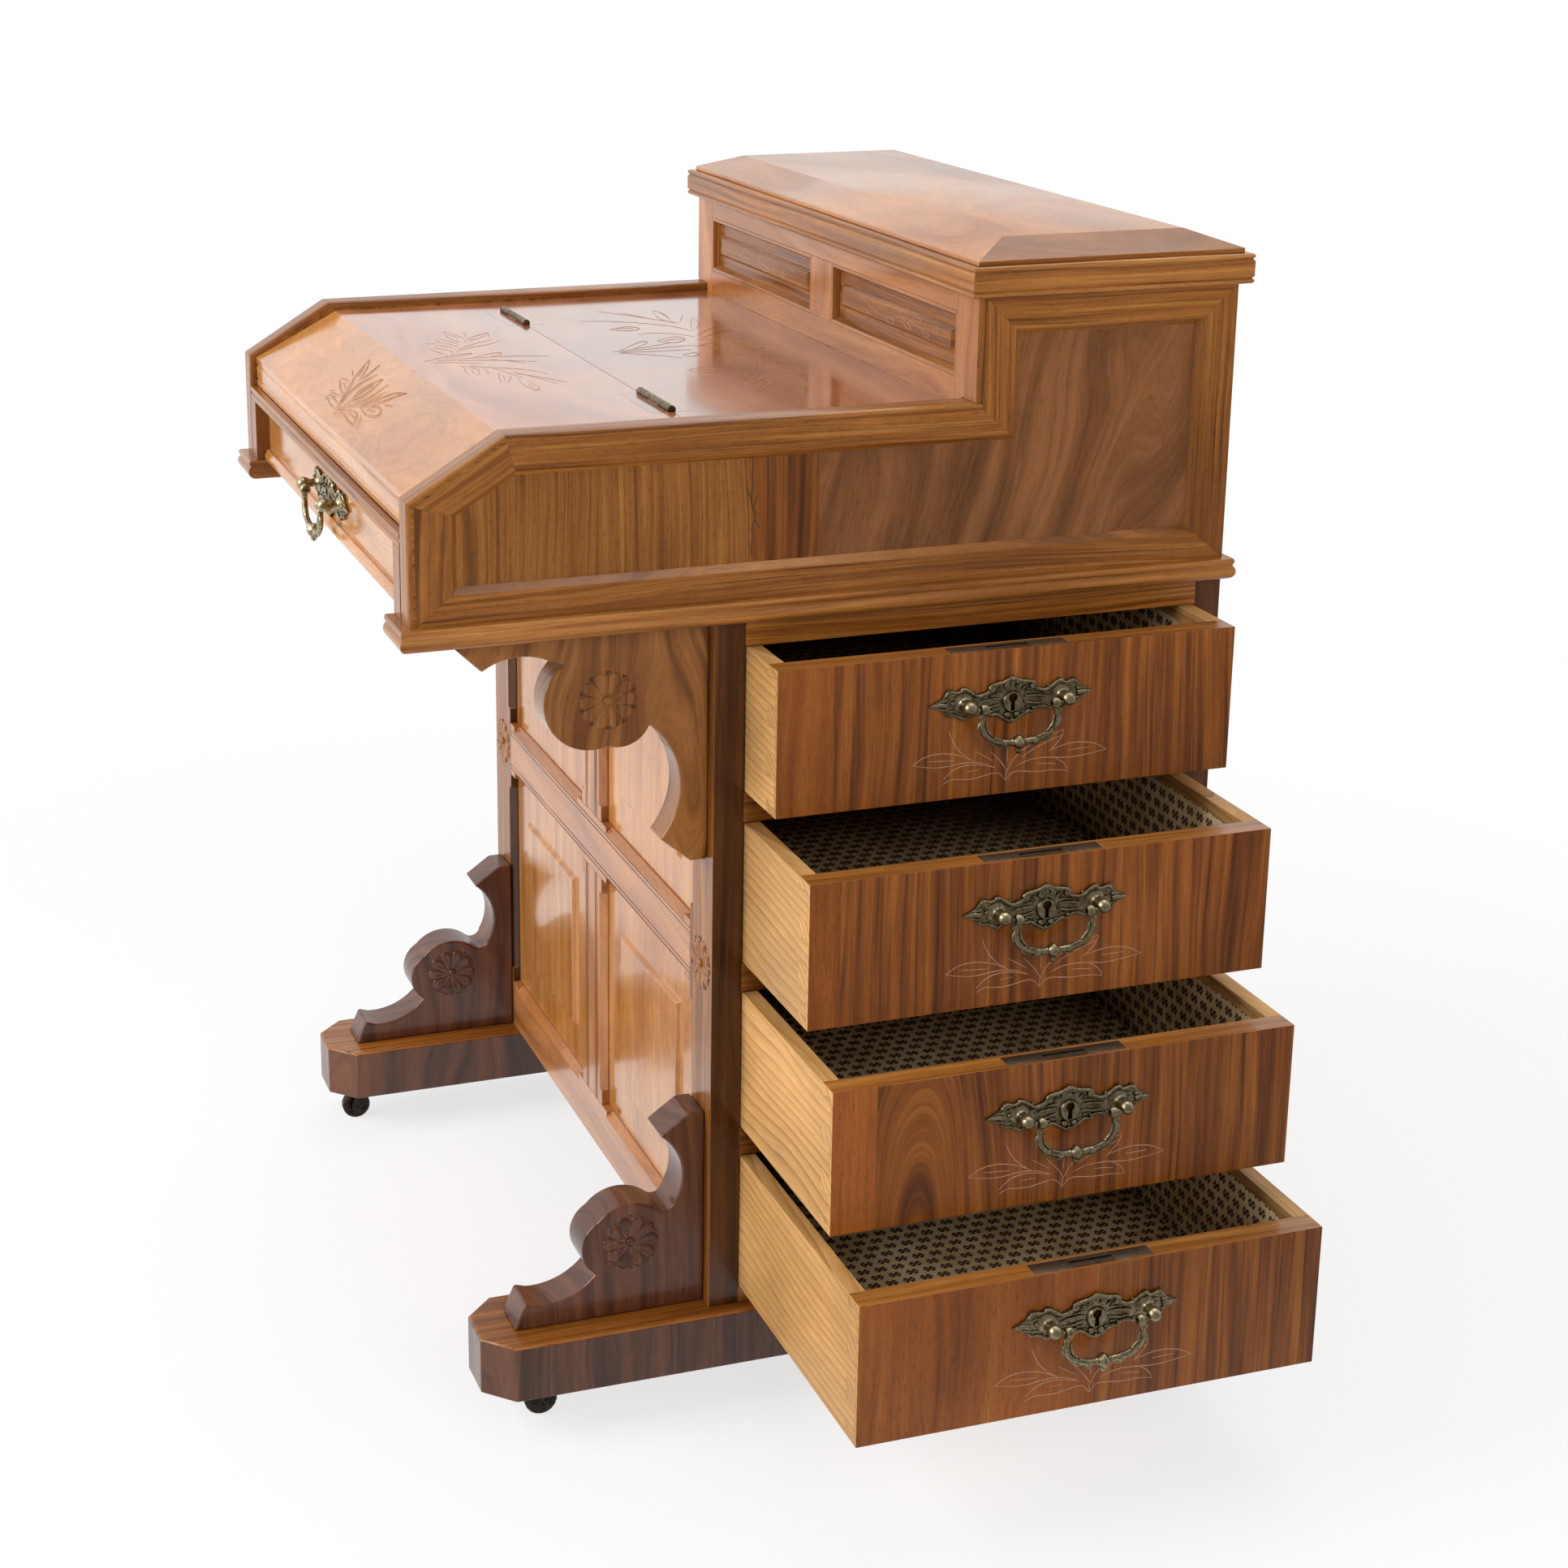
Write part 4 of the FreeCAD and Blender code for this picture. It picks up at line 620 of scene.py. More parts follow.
low_steps = [
    ((0.060, 0.130),), ((0.120, 0.112),), ((0.300, 0.140), (0.428, 0.232)),
    ((0.356, 0.345), (0.440, 0.500)), ((0.600, 0.572), (0.752, 0.522)),
    ((0.812, 0.510), (0.845, 0.552)), ((0.872, 0.760), (0.765, 0.900)), ((0.915, 1.0),),
    ((1.0, 1.0),), ((1.0, 0.0),), ((0.0, 0.0),),
]
high_steps = [
    ((0.932, 0.0),), ((0.812, 0.105),), ((0.890, 0.330), (0.768, 0.590)),
    ((0.700, 0.520), (0.605, 0.520)), ((0.370, 0.640), (0.440, 0.872)), ((0.380, 0.892),),
    ((0.250, 0.918), (0.126, 0.872)), ((0.0, 1.0),), ((1.0, 1.0),), ((1.0, 0.0),),
]
low_outline = outline((0, 0), low_steps, (157.5, 166))
high_outline = outline((1, 0), high_steps, (201, 190))
print("brackets of", len(low_outline), "and", len(high_outline), "outline points")

# %% Saw the brackets
def plank(bm, corners, thickness):
    """Adds a board: one face through the corners, drawn out by a vector."""
    face = bm.faces.new([bm.verts.new(corner) for corner in corners])
    moved = bmesh.ops.extrude_face_region(bm, geom=[face])
    new = [g for g in moved["geom"] if isinstance(g, bmesh.types.BMVert)]
    bmesh.ops.translate(bm, verts=new, vec=thickness)
    bmesh.ops.recalc_face_normals(bm, faces=bm.faces)


def write_grain(bm, way, seed):
    """Writes grain and tone on a whole bmesh, with the grain along one direction."""
    layers, axes = grain_layers(bm), grain_axes(way)
    shift, light = log_place(random.Random(seed))
    for face in bm.faces:
        write_corners(face, layers, axes, shift, light)


def bracket(name, node, points, thickness, material, round_over=4.0):
    """A plank bracket on both sides of the desk, in the place of a node."""
    low, high = (corner * 1000 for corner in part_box(node))
    bm = bmesh.new()
    for side in (1, -1):
        plank(bm, [mm(side * high.x, low.y + u, low.z + v) for u, v in points],
              mm(-side * thickness, 0, 0))
    write_grain(bm, UP, name)
    piece = finish_mesh(name, bm, "desk", material, sharp=60)
    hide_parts(node)
    soften(piece, round_over, segments=4)
    return piece


low_plank, high_plank = 36, 28
bracket("lower_scrolls", "lower_brackets", low_outline, low_plank, dark_walnut)
bracket("upper_scrolls", "upper_brackets", high_outline, high_plank, upper_walnut)
print("planks of", low_plank, "and", high_plank, "mm")

# %% [markdown]
# ## Carved rosettes
#
# A flower with ten petals is carved on both faces of every bracket and on the front of the two
# stiles. Each petal is a hollow leaf with a raised rim, so it is shaped from a sphere that is
# flattened, drawn out and dished, and set round a button.

# %% Carve the rosettes
petals = 10


def rosette(bm, radius):
    """A rosette in its own plane: petals round Z, lifted along +Z. Sizes in metres."""
    for k in range(petals):
        made = bmesh.ops.create_uvsphere(bm, u_segments=14, v_segments=10, radius=1)["verts"]
        for v in made:
            u = (v.co.x + 1) / 2
            top = v.co.z > 0
            v.co.y *= 0.12 + 0.88 * min(1, u * 1.35) ** 1.2
            v.co.z = (0.30 + 0.45 * u) * (v.co.z if top else 0.3 * v.co.z)
            if top:
                v.co.z -= 0.34 * max(0, 1 - abs(v.co.y) / 0.62) * math.sin(math.pi * u)
        move = Matrix.Rotation(math.tau * k / petals, 4, "Z") \
            @ Matrix.Translation((radius * 0.58, 0, 0)) \
            @ Matrix.Diagonal((radius * 0.40, radius * 0.262, radius * 0.16, 1))
        bmesh.ops.transform(bm, matrix=move, verts=made)
    button = bmesh.ops.create_uvsphere(bm, u_segments=16, v_segments=8, radius=radius * 0.17)
    bmesh.ops.scale(bm, verts=button["verts"], vec=(1, 1, 0.85))


def petal_tips(bm, radius):
    """Small dark three-sided prisms between the tips of the petals, as painted shade of the cuts
    there.
    """
    for k in range(petals):
        made = bmesh.ops.create_cone(
            bm, cap_ends=True, segments=3, radius1=radius * 0.12, radius2=radius * 0.09,
            depth=0.0008,
        )["verts"]
        move = Matrix.Rotation(math.tau * (k + 0.5) / petals, 4, "Z") \
            @ Matrix.Translation((radius * 0.93, 0, 0)) @ Matrix.Rotation(math.pi / 2, 4, "Z")
        bmesh.ops.transform(bm, matrix=move, verts=made)


def place_rosettes(name, spots, material, shape=rosette):
    """Rosettes, or the painted shade of their cuts, at (point in mm, outward direction, radius in
    mm).
    """
    bm = bmesh.new()
    for point, out, radius in spots:
        part = bmesh.new()
        shape(part, radius / 1000)
        turn = Vector(out).to_track_quat("Z", "Y").to_matrix().to_4x4()
        bmesh.ops.transform(part, matrix=Matrix.Translation(mm(*point)) @ turn, verts=part.verts)
        pour(bm, to_mesh("rosette", part))
    write_grain(bm, UP, name)
    return finish_mesh(name, bm, "desk", material, sharp=50)


print("petals:", petals)

# %% Set the rosettes
def on_brackets(node, thickness, y, z, radius):
    """Places on the outer and the inner face of a pair of brackets."""
    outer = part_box(node)[1].x * 1000
    return [((s * x, y, z), (s * out, 0, 0), radius)
            for s in (1, -1) for x, out in ((outer, 1), (outer - thickness, -1))]


low_spots = on_brackets("lower_brackets", low_plank, y=-156.5, z=148, radius=24)
high_spots = on_brackets("upper_brackets", high_plank, y=-174.5, z=598.5, radius=23)
stile_x, stile_y, stile_z = 284.5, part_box("pedestal_posts")[0].y * 1000, 372.5
stile_spots = [((s * stile_x, stile_y, stile_z), (0, -1, 0), 22) for s in (1, -1)]
place_rosettes("lower_rosettes", low_spots, dark_walnut)
place_rosettes("upper_rosettes", high_spots, upper_walnut)
place_rosettes("stile_rosettes", stile_spots, frame_walnut)
print(len(low_spots + high_spots + stile_spots), "rosettes carved")

# %% [markdown]
# ## Brass and iron
#
# Handles and hinges are cast or rolled brass that has gone brown-grey in its hollows and stays pale
# on what the hand rubs. Castors are iron, nearly black, with a little rust.

# %% A recipe for old metal
def old_metal(name, bright, dull, stain, grit, rough, relief=0.5):
    """A metal that is bright where it's rubbed and stained in its hollows. grit is the size of
    the stains in mm."""
    material, tree, output = blank(name)
    where = add(tree, "TexCoord").outputs["Object"]
    spots = add(tree, "TexNoise", {"Scale": 1000 / grit, "Detail": 5.0, "Roughness": 0.6},
                {"Vector": where})
    hollow = add(tree, "AmbientOcclusion", {"Distance": 0.004, "samples": 8})
    rub = add(tree, "Math", {"operation": "MULTIPLY"},
              {0: spots.outputs["Fac"], 1: hollow.outputs["AO"]})
    colour = add(tree, "ValToRGB", links={"Fac": rub},
                 stops=[(0.12, stain), (0.34, dull), (0.58, bright)])
    spread = add(tree, "MapRange",
                 {"From Min": 0.3, "From Max": 0.7, "To Min": rough + 0.12, "To Max": rough - 0.08},
                 {"Value": spots.outputs["Fac"]})
    # the skin left by the sand of the mould, with grains of about 1 mm
    cast = add(tree, "TexNoise", {"Scale": 900.0, "Detail": 3.0}, {"Vector": where})
    bump = add(tree, "Bump", {"Strength": relief, "Distance": 0.0003},
               {"Height": cast.outputs["Fac"]})
    shader = add(tree, "BsdfPrincipled", {"Metallic": 1.0},
                 {"Base Color": colour, "Roughness": spread, "Normal": bump})
    tree.links.new(shader.outputs[0], output.inputs[0])
    return material


handle_brass = old_metal("cast_brass_patina", "#b8aa88", "#83755a", "#2a2118", 3.0, 0.31, 0.35)
hinge_brass = old_metal("rolled_brass_dull", "#85755a", "#5f4f39", "#2a2017", 6.0, 0.4, 0.15)
castor_iron = old_metal("cast_iron_brown", "#3a332e", "#27211d", "#120e0c", 4.0, 0.5)

# the leaves lie in the wood and are stained like it, so only the barrels show as metal
leaf_top = 0.79995
for node in ("hinge_leaves_on_case", "flap_hinge_leaves"):
    dress(node, [hinge_brass, surface_walnut], ACROSS, edge=0.0,
          pick=lambda c, n: 1 if c.z < leaf_top and c.y < 0 else 0)
dress("lid_hinge_leaves", hinge_brass, ACROSS, edge=0.2)
dress("castor_plates", castor_iron, UP, edge=0.3)
for corner in ("front_right", "front_left", "back_right", "back_left"):
    dress("castor_fork_" + corner, castor_iron, UP, edge=0.4)
    dress("castor_wheel_" + corner, castor_iron, UP, edge=0.6)
print("metals:", handle_brass.name, hinge_brass.name, castor_iron.name)

# %% [markdown]
# ## Cast handles
#
# A drop handle of this kind is cast in one mould with scrolls, leaves and beads, then its ball
# posts are turned and riveted in. The plate is sawn from a drawn outline, the keyhole is cut
# through it, and the scrolls are smooth tubes of changing thickness, half sunk in the plate. One
# plate and one bail are made, then copied to each drawer.

# %% Tubes
def strokes(bm, lines, steps=4, ring=2):
    """Adds smooth tubes to a bmesh. A line is its points in mm and the radii at even places."""
    curve = bpy.data.curves.new("strokes", "CURVE")
    curve.dimensions = "3D"
    curve.bevel_depth = 0.001
    curve.bevel_resolution = ring
    curve.resolution_u = steps
    curve.use_fill_caps = True
    for points, radii in lines:
        spline = curve.splines.new("NURBS")
        spline.points.add(len(points) - 1)
        for k, point in enumerate(points):
            place = k / (len(points) - 1) * (len(radii) - 1)
            low = min(int(place), len(radii) - 2)
            spline.points[k].co = (*mm(*point), 1)
            spline.points[k].radius = radii[low] + (radii[low + 1] - radii[low]) * (place - low)
        spline.order_u = 3
        spline.use_endpoint_u = True
    holder = bpy.data.objects.new("strokes", curve)
    pour(bm, bpy.data.meshes.new_from_object(holder))
    bpy.data.objects.remove(holder)
    bpy.data.curves.remove(curve)


def both(lines):
    """Lines with their mirror images."""
    return lines + [([(-u, v, w) for u, v, w in points], radii) for points, radii in lines]


print("tubes ready")

# %% Turned parts and beads
def turned(bm, profile, centre, axis, segments=24):
    """Adds a turned part: (along, radius) points in mm, spun round an axis through centre."""
    axis, centre = Vector(axis), mm(*centre)
    side = axis.orthogonal().normalized()
    verts = [bm.verts.new(centre + (axis * a + side * r) / 1000) for a, r in profile]
    edges = [bm.edges.new(pair) for pair in zip(verts, verts[1:])]
    before = set(bm.faces)
    bmesh.ops.spin(bm, geom=verts + edges, cent=centre, axis=axis, angle=math.tau,
                   steps=segments, use_merge=True)
    new = dict.fromkeys(v for f in bm.faces if f not in before for v in f.verts)
    bmesh.ops.remove_doubles(bm, verts=list(new), dist=1e-6)
    bmesh.ops.recalc_face_normals(bm, faces=[f for f in bm.faces if f not in before])


def beads(bm, spots):
    """Adds round beads at (u, v, w, radius) in mm, a little flattened towards the plate."""
    for u, v, w, r in spots:
        made = bmesh.ops.create_uvsphere(bm, u_segments=12, v_segments=8, radius=r / 1000)["verts"]
        bmesh.ops.scale(bm, verts=made, vec=(1, 1, 0.85))
        bmesh.ops.translate(bm, verts=made, vec=mm(u, v, w))


def mirrored(spots):
    """Bead places with their mirror images."""
    return [(s * u, v, w, r) for s in (1, -1) for u, v, w, r in spots]


print("lathe ready")

# %% [markdown]
# ### The plate
#
# The keyhole goes through the plate and its escutcheon with a boolean, because both are solid there
# and their rims stay sharp, as the real keyhole's rim does.

# %% Saw the plate and cut the keyhole
plate_edge = [
    (0, 18.6), (2.2, 16.8), (4.8, 15.8), (8, 15.2), (13, 14.6), (16.5, 14.2), (19.2, 12.2),
    (19.6, 9.8), (22, 8.2), (26, 7.0), (30, 7.6), (33.5, 10.4), (36.5, 12.2), (39, 13.6),
    (41.5, 13), (44, 11), (47, 11.2), (50, 12.6), (53, 12.4), (55, 9.6), (57, 6), (60, 4.6),
    (63, 3), (67.3, 0.8), (63.5, -1), (60, -2.6), (57, -3.4), (55.5, -5.8), (53, -8.4),
    (49.5, -8.6), (46.5, -8.8), (43, -11.4), (40, -12.6), (37, -11.8), (34, -10.2), (30, -9.8),
    (26, -8.6), (22, -8.4), (20.4, -9.8), (18.5, -11.4), (15, -10.8), (12, -11.4), (9, -13.4),
    (5.5, -16), (2, -17.8), (0, -18.4),
]


def carve(mesh, cutters):
    """Cuts meshes out of a mesh and gives the result as a new mesh."""
    body = put("body", mesh)
    tools = [put("tool", cutter) for cutter in cutters]
    for tool in tools:
        modifier = body.modifiers.new("cut", "BOOLEAN")
        modifier.operation, modifier.object = "DIFFERENCE", tool
    seen = body.evaluated_get(bpy.context.evaluated_depsgraph_get())
    result = bpy.data.meshes.new_from_object(seen)
    for item in [body] + tools:
        bpy.data.objects.remove(item)
    return result


def keyhole_plate():
    """The plate's sheet and the oval escutcheon, both with the keyhole cut through."""
    sheet, oval, hole, slot = (bmesh.new() for _ in range(4))
    sheet_depth, through = 1.9, 20
    plank(sheet, [mm(u, v, 0) for u, v in plate_edge + [(-u, v) for u, v in plate_edge[-2:0:-1]]],
          mm(0, 0, sheet_depth))
    oval_foot, oval_top, oval_depth, oval_v, oval_w = 9.6, 7.8, 3.6, -0.9, 2.2
    bmesh.ops.create_cone(oval, cap_ends=True, segments=40, radius1=oval_foot / 1000,
                          radius2=oval_top / 1000, depth=oval_depth / 1000)
    bmesh.ops.scale(oval, verts=oval.verts, vec=(0.92, 0.98, 1))
    bmesh.ops.translate(oval, verts=oval.verts, vec=mm(0, oval_v, oval_w))
    hole_radius, hole_v = 3.6, 2.4
    bmesh.ops.create_cone(hole, cap_ends=True, segments=28, radius1=hole_radius / 1000,
                          radius2=hole_radius / 1000, depth=through / 1000)
    bmesh.ops.translate(hole, verts=hole.verts, vec=mm(0, hole_v, 0))
    slot_wide, slot_tall, slot_v = 3.4, 9.6, -3.0
    bmesh.ops.create_cube(slot, size=1)
    bmesh.ops.scale(slot, verts=slot.verts, vec=mm(slot_wide, slot_tall, through))
    bmesh.ops.translate(slot, verts=slot.verts, vec=mm(0, slot_v, 0))
    cutters = [to_mesh("cutter", bm) for bm in (hole, slot)]
    whole = bmesh.new()
    for bm in (sheet, oval):
        whole.from_mesh(carve(to_mesh("blank", bm), cutters))
    return whole


plate = keyhole_plate()
print("plate blank:", len(plate.faces), "faces")

# %% [markdown]
# ### Scrolls, beads and posts
#
# The scrolls are read from the casting: a pair of tall scrolls meets at the peak, a second pair at
# the foot, and long leafy stems run out to the pointed tips under the two ball posts.

# %% Cast the plate's relief
scroll = [
    ([(0, 17.6, 1.9), (4, 15.5, 2.2), (8, 14.2, 2.4), (12, 13.6, 2.4), (15, 13.2, 2.4),
      (18.2, 12, 2.4), (18.6, 9.6, 2.5), (16.6, 8.4, 2.8), (14.8, 9.6, 3.1), (15.6, 11, 3.3)],
      (1.5, 1.5, 1.5, 1.0)),
    ([(1.2, 15.0, 2), (4.5, 13.6, 2.4), (6.6, 11.4, 2.6), (5.4, 9.6, 2.8), (3.4, 10.4, 3),
      (3.8, 11.8, 3.2)], (1.2, 1.2, 0.8)),
    ([(0, -17.3, 1.8), (4, -15.2, 2.2), (8, -12.6, 2.4), (11.5, -10.2, 2.4), (14.5, -9.6, 2.4),
      (17.5, -10.4, 2.4), (19.3, -8.8, 2.5), (18.2, -6.6, 2.8), (16.2, -7.4, 3.1)],
      (1.4, 1.5, 1.0)),
    ([(16, 9.5, 2), (20, 7.5, 2.2), (24, 5.6, 2.2), (28, 5.2, 2.2), (32, 7.5, 2.2), (36, 10.5, 2.2),
      (39.5, 12.2, 2.4), (41.5, 10.5, 2.2), (45, 9.2, 2), (49, 10.8, 2.2), (52, 10.6, 2.2),
      (54.5, 7.5, 1.8)], (1.4, 1.6, 1.3, 1.0)),
    ([(17, -8, 2), (22, -7.2, 2.2), (27, -7.6, 2.2), (31, -8.8, 2.2), (35, -9.2, 2.2),
      (38, -10.8, 2.2), (40, -11.6, 2.2), (42, -10, 2.2), (46, -7.2, 2), (50, -7.4, 2), (53, -7, 2),
      (55, -4.5, 1.8)], (1.3, 1.5, 1.2, 0.9)),
    ([(54, 0.5, 1.8), (58, 1.4, 2), (62, 1, 1.8), (67, 0.6, 1.2)], (2.4, 2.2, 1.4, 0.5)),
    ([(53, 4.5, 1.8), (57, 3.6, 1.8), (60, 3.4, 1.5)], (1.5, 0.6)),
    ([(53, -3.2, 1.8), (57, -2.2, 1.8), (60, -1.6, 1.5)], (1.4, 0.6)),
    ([(10, 2, 2.2), (16, 2.4, 2.6), (22, 1.6, 2.6), (29, 0.4, 2.0)], (0.8, 1.1, 0.6)),
    ([(10, -2, 2.2), (16, -3.6, 2.6), (21, -4.4, 2.6), (27, -3.8, 2.0)], (0.8, 1.1, 0.6)),
    ([(10.5, 6, 2.2), (14, 5.6, 2.6), (19, 4.4, 2.2)], (0.7, 1.0, 0.5)),
    ([(11, -6, 2.2), (14, -6.6, 2.5), (17, -5.2, 2.4)], (0.9, 0.6)),
    ([(26, 3.2, 2), (31, 3.4, 2.2), (34.5, 5.5, 2)], (0.7, 0.9, 0.5)),
    ([(45, 5.6, 2), (49, 6.4, 2.2), (52, 5.0, 2)], (0.9, 1.0, 0.5)),
    ([(45, -3.4, 2), (49, -4.6, 2.2), (52, -3.8, 2)], (0.9, 1.0, 0.5)),
    ([(8.2, 8, 2.2), (9.6, 9.6, 2.6), (11.4, 10.2, 2.4)], (1.0, 0.7)),
    ([(6.8, -10.2, 2.2), (8.8, -10, 2.4), (10.6, -8.2, 2.2)], (0.9, 0.6)),
]
strokes(plate, both(scroll))
beads(plate, mirrored([
    (16.2, 10.4, 2.6, 1.9), (4, 11.2, 2.4, 1.5), (3.8, -11.2, 2.6, 2.6), (17.8, -7.6, 2.4, 1.6),
    (40.6, 11.6, 2.2, 1.8), (52.6, 9.6, 2, 1.7), (39.8, -11.4, 2, 1.5), (29.5, 8.4, 1.8, 1.1),
    (23, 1.4, 2.4, 1.3), (31, -6.8, 2.2, 1.2), (48.5, 1.6, 2.2, 1.8), (56.5, 0.6, 2.6, 1.2),
    (12.6, 8, 2.4, 1.2),
]) + [(0, 16.4, 2.4, 2.0), (0, 13.6, 2.6, 1.4), (0, -15.4, 2.4, 1.8)])
post = [
    (1.0, 0), (1.0, 7.4), (2.4, 7.6), (3.2, 6.4), (3.6, 4.8), (6.0, 3.5), (9.4, 3.3), (11.2, 4.4),
    (13.2, 5.3), (15.6, 5.5), (18.4, 4.7), (20.2, 2.8), (20.8, 1.4), (21.0, 0),
]
pin = [(-2.4, 0), (-2.4, 1.5), (10.8, 1.5), (10.8, 0)]
post_u, post_v, pin_u, pin_v, pin_w = 40.25, 1.2, 38, -0.8, 16
for sign in (1, -1):
    turned(plate, post, (sign * post_u, post_v, 0), UP)
    turned(plate, pin, (sign * pin_u, pin_v, pin_w), (-sign, 0, 0), segments=16)
plate_master = to_mesh("plate_master", plate)
print("plate master:", len(plate_master.polygons), "faces")

# %% [markdown]
# ### The bail
#
# The bail hangs from two pins inside the posts. It's a bow of two leafy scrolls that meet in a
# turned knop, with a bead and a curled leaf on each side.

# %% Cast the bail
bail = bmesh.new()
bow = [
    (29.0, -0.8, 16), (30.6, -6, 16), (31.2, -12, 16.2), (29.8, -18.6, 16.4), (25, -23.8, 16.4),
    (18, -26.8, 16.2), (11, -28.4, 16), (4, -28.6, 16),
]
curl = [
    ([(27.6, -5, 17.6), (30.6, -3.6, 18), (33.2, -5.6, 17.4), (32.4, -8.2, 17), (30.8, -7.4, 17.6)],
      (1.2, 1.2, 0.8)),
    ([(31.8, -9.5, 17), (34, -13, 16.6), (33, -17.6, 16.4), (30.4, -19.4, 16.6)], (0.7, 1.5, 0.6)),
    ([(28, -9, 17.4), (27.4, -14, 17.6), (26, -18, 17.6), (22, -21.8, 17.6)], (0.8, 1.3, 0.6)),
    ([(28.6, -20.6, 17), (26.4, -25.4, 16.8), (21.6, -28.6, 16.6), (18.4, -29, 16.6)],
      (0.7, 1.5, 0.6)),
    ([(21, -23, 17.8), (17, -24.6, 18), (13.4, -25.6, 17.8)], (0.8, 1.2, 0.6)),
    ([(16.4, -30, 16.8), (13, -32, 17), (9.6, -31.4, 16.8), (10, -29.6, 17.4)], (1.0, 1.2, 0.7)),
]
strokes(bail, both([(bow, (2.3, 2.1, 2.8, 2.3, 3.0, 2.4))] + curl))
beads(bail, mirrored([
    (12.6, -28.4, 16.6, 3.3), (31.4, -5.8, 17.2, 1.6), (26.4, -22.8, 17.8, 1.5),
    (19.6, -26.2, 17.6, 1.4),
]))
knop = [(0.7, 5.6), (1.6, 5.0), (3.4, 3.9), (4.4, 2.6), (5.2, 3.0), (6.6, 2.4), (6.6, 0)]
drop = [(0, 0), (0, 2.2), (2.2, 2.6), (4, 1.6), (5.2, 0)]
eye = [(-2.8, 1.75), (-2.8, 3.4), (-1.6, 4.3), (0, 4.5), (1.6, 4.3), (2.8, 3.4), (2.8, 1.75)]
knop_v, drop_v, eye_u = -28.6, -33.2, 28.95
turned(bail, [(-a, r) for a, r in knop[::-1]] + knop, (0, knop_v, pin_w), ACROSS)
turned(bail, drop, (0, drop_v, pin_w), (0, -1, 0), segments=16)
for sign in (1, -1):
    turned(bail, eye + eye[:1], (sign * eye_u, pin_v, pin_w), ACROSS)
bail_master = to_mesh("bail_master", bail)
print("bail master:", len(bail_master.polygons), "faces")

# %% [markdown]
# ### Locks
#
# A till lock is let into the drawer front from behind. Its top plate lies in the upper edge of the
# front, dull and scratched, with a screw near each end and the bolt's slot in the middle.

# %% Make the lock
def block(bm, low, high, bevel=0.0):
    """Adds a block between two corners in mm, with its edges broken."""
    made = bmesh.ops.create_cube(bm, size=1)["verts"]
    size = Vector(high) - Vector(low)
    bmesh.ops.scale(bm, verts=made, vec=size / 1000)
    bmesh.ops.translate(bm, verts=made, vec=(Vector(high) + Vector(low)) / 2000)
    if bevel:
        edges = list(dict.fromkeys(e for v in made for e in v.link_edges))
        bmesh.ops.bevel(bm, geom=edges, offset=bevel / 1000, affect="EDGES", segments=2,
                        profile=0.5, material=-1)


def lock_parts(top):
    """A lock as a mesh, in the handle's own frame. top is the height of the drawer's upper edge."""
    low, high = top - 1.5, top - 0.05
    back, slot_back, slot_front, front = -16.9, -12.2, -7.8, -3.1
    half_plate, half_slot, half_bolt = 48.4, 17.2, 15.5
    half_case, half_height, case_rear, case_face = 28.9, 16.9, -26.9, -20.2
    screw_places, screw_w, rivet_u, rivet_v = (24, 41), -10, 22, 11
    bm = bmesh.new()
    block(bm, (-half_plate, low, back), (-half_slot, high, front), 0.25)
    block(bm, (half_slot, low, back), (half_plate, high, front), 0.25)
    block(bm, (-half_slot, low, back), (half_slot, high, slot_back))
    block(bm, (-half_slot, low, slot_front), (half_slot, high, front))
    block(bm, (-half_bolt, top - 3.4, -11.8), (half_bolt, top - 0.9, -8.2), 0.3)
    block(bm, (-half_case, -half_height, case_rear), (half_case, half_height, case_face), 0.8)
    screw = [(-0.6, 0), (-0.6, 3.0), (0.02, 2.9), (0.12, 2.2), (0.16, 0)]
    rivet = [(0, 0), (0, 2.4), (0.9, 2.0), (1.3, 0)]
    for sign in (1, -1):
        for u in screw_places:
            turned(bm, screw, (sign * u, top, screw_w), DEEP, segments=20)
        for v in (-rivet_v, rivet_v):
            turned(bm, rivet, (sign * rivet_u, v, case_rear), (0, 0, -1), segments=16)
    return to_mesh("lock_master", bm)


lock_steel = old_metal("tarnished_steel", "#8c8273", "#6a5f50", "#3d332a", 9.0, 0.42, 0.3)
drawer_lock, small_lock = lock_parts(39.5), lock_parts(24.9)
print("lock master:", len(drawer_lock.polygons), "faces")

# %% Fit handles and locks
def stand(outward, place):
    """The place of a handle as a matrix: u to the right, v up, w outward."""
    w, v = Vector(outward), Vector(UP)
    matrix = Matrix((v.cross(w), v, w)).transposed().to_4x4()
    matrix.translation = mm(*place)
    return matrix


def fit(name, master, places, body, material, nodes=()):
    """Copies a master mesh to its places as one piece."""
    bm = bmesh.new()
    for matrix in places:
        mesh = master.copy()
        mesh.transform(matrix)
        pour(bm, mesh)
    piece = finish_mesh(name, bm, body, material, sharp=50)
    if nodes:
        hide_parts(*nodes)
    return piece


def cast(name, master, places, body, node):
    """Fits a brass casting in the place of a node."""
    return fit(name, master, places, body, handle_brass, [node])


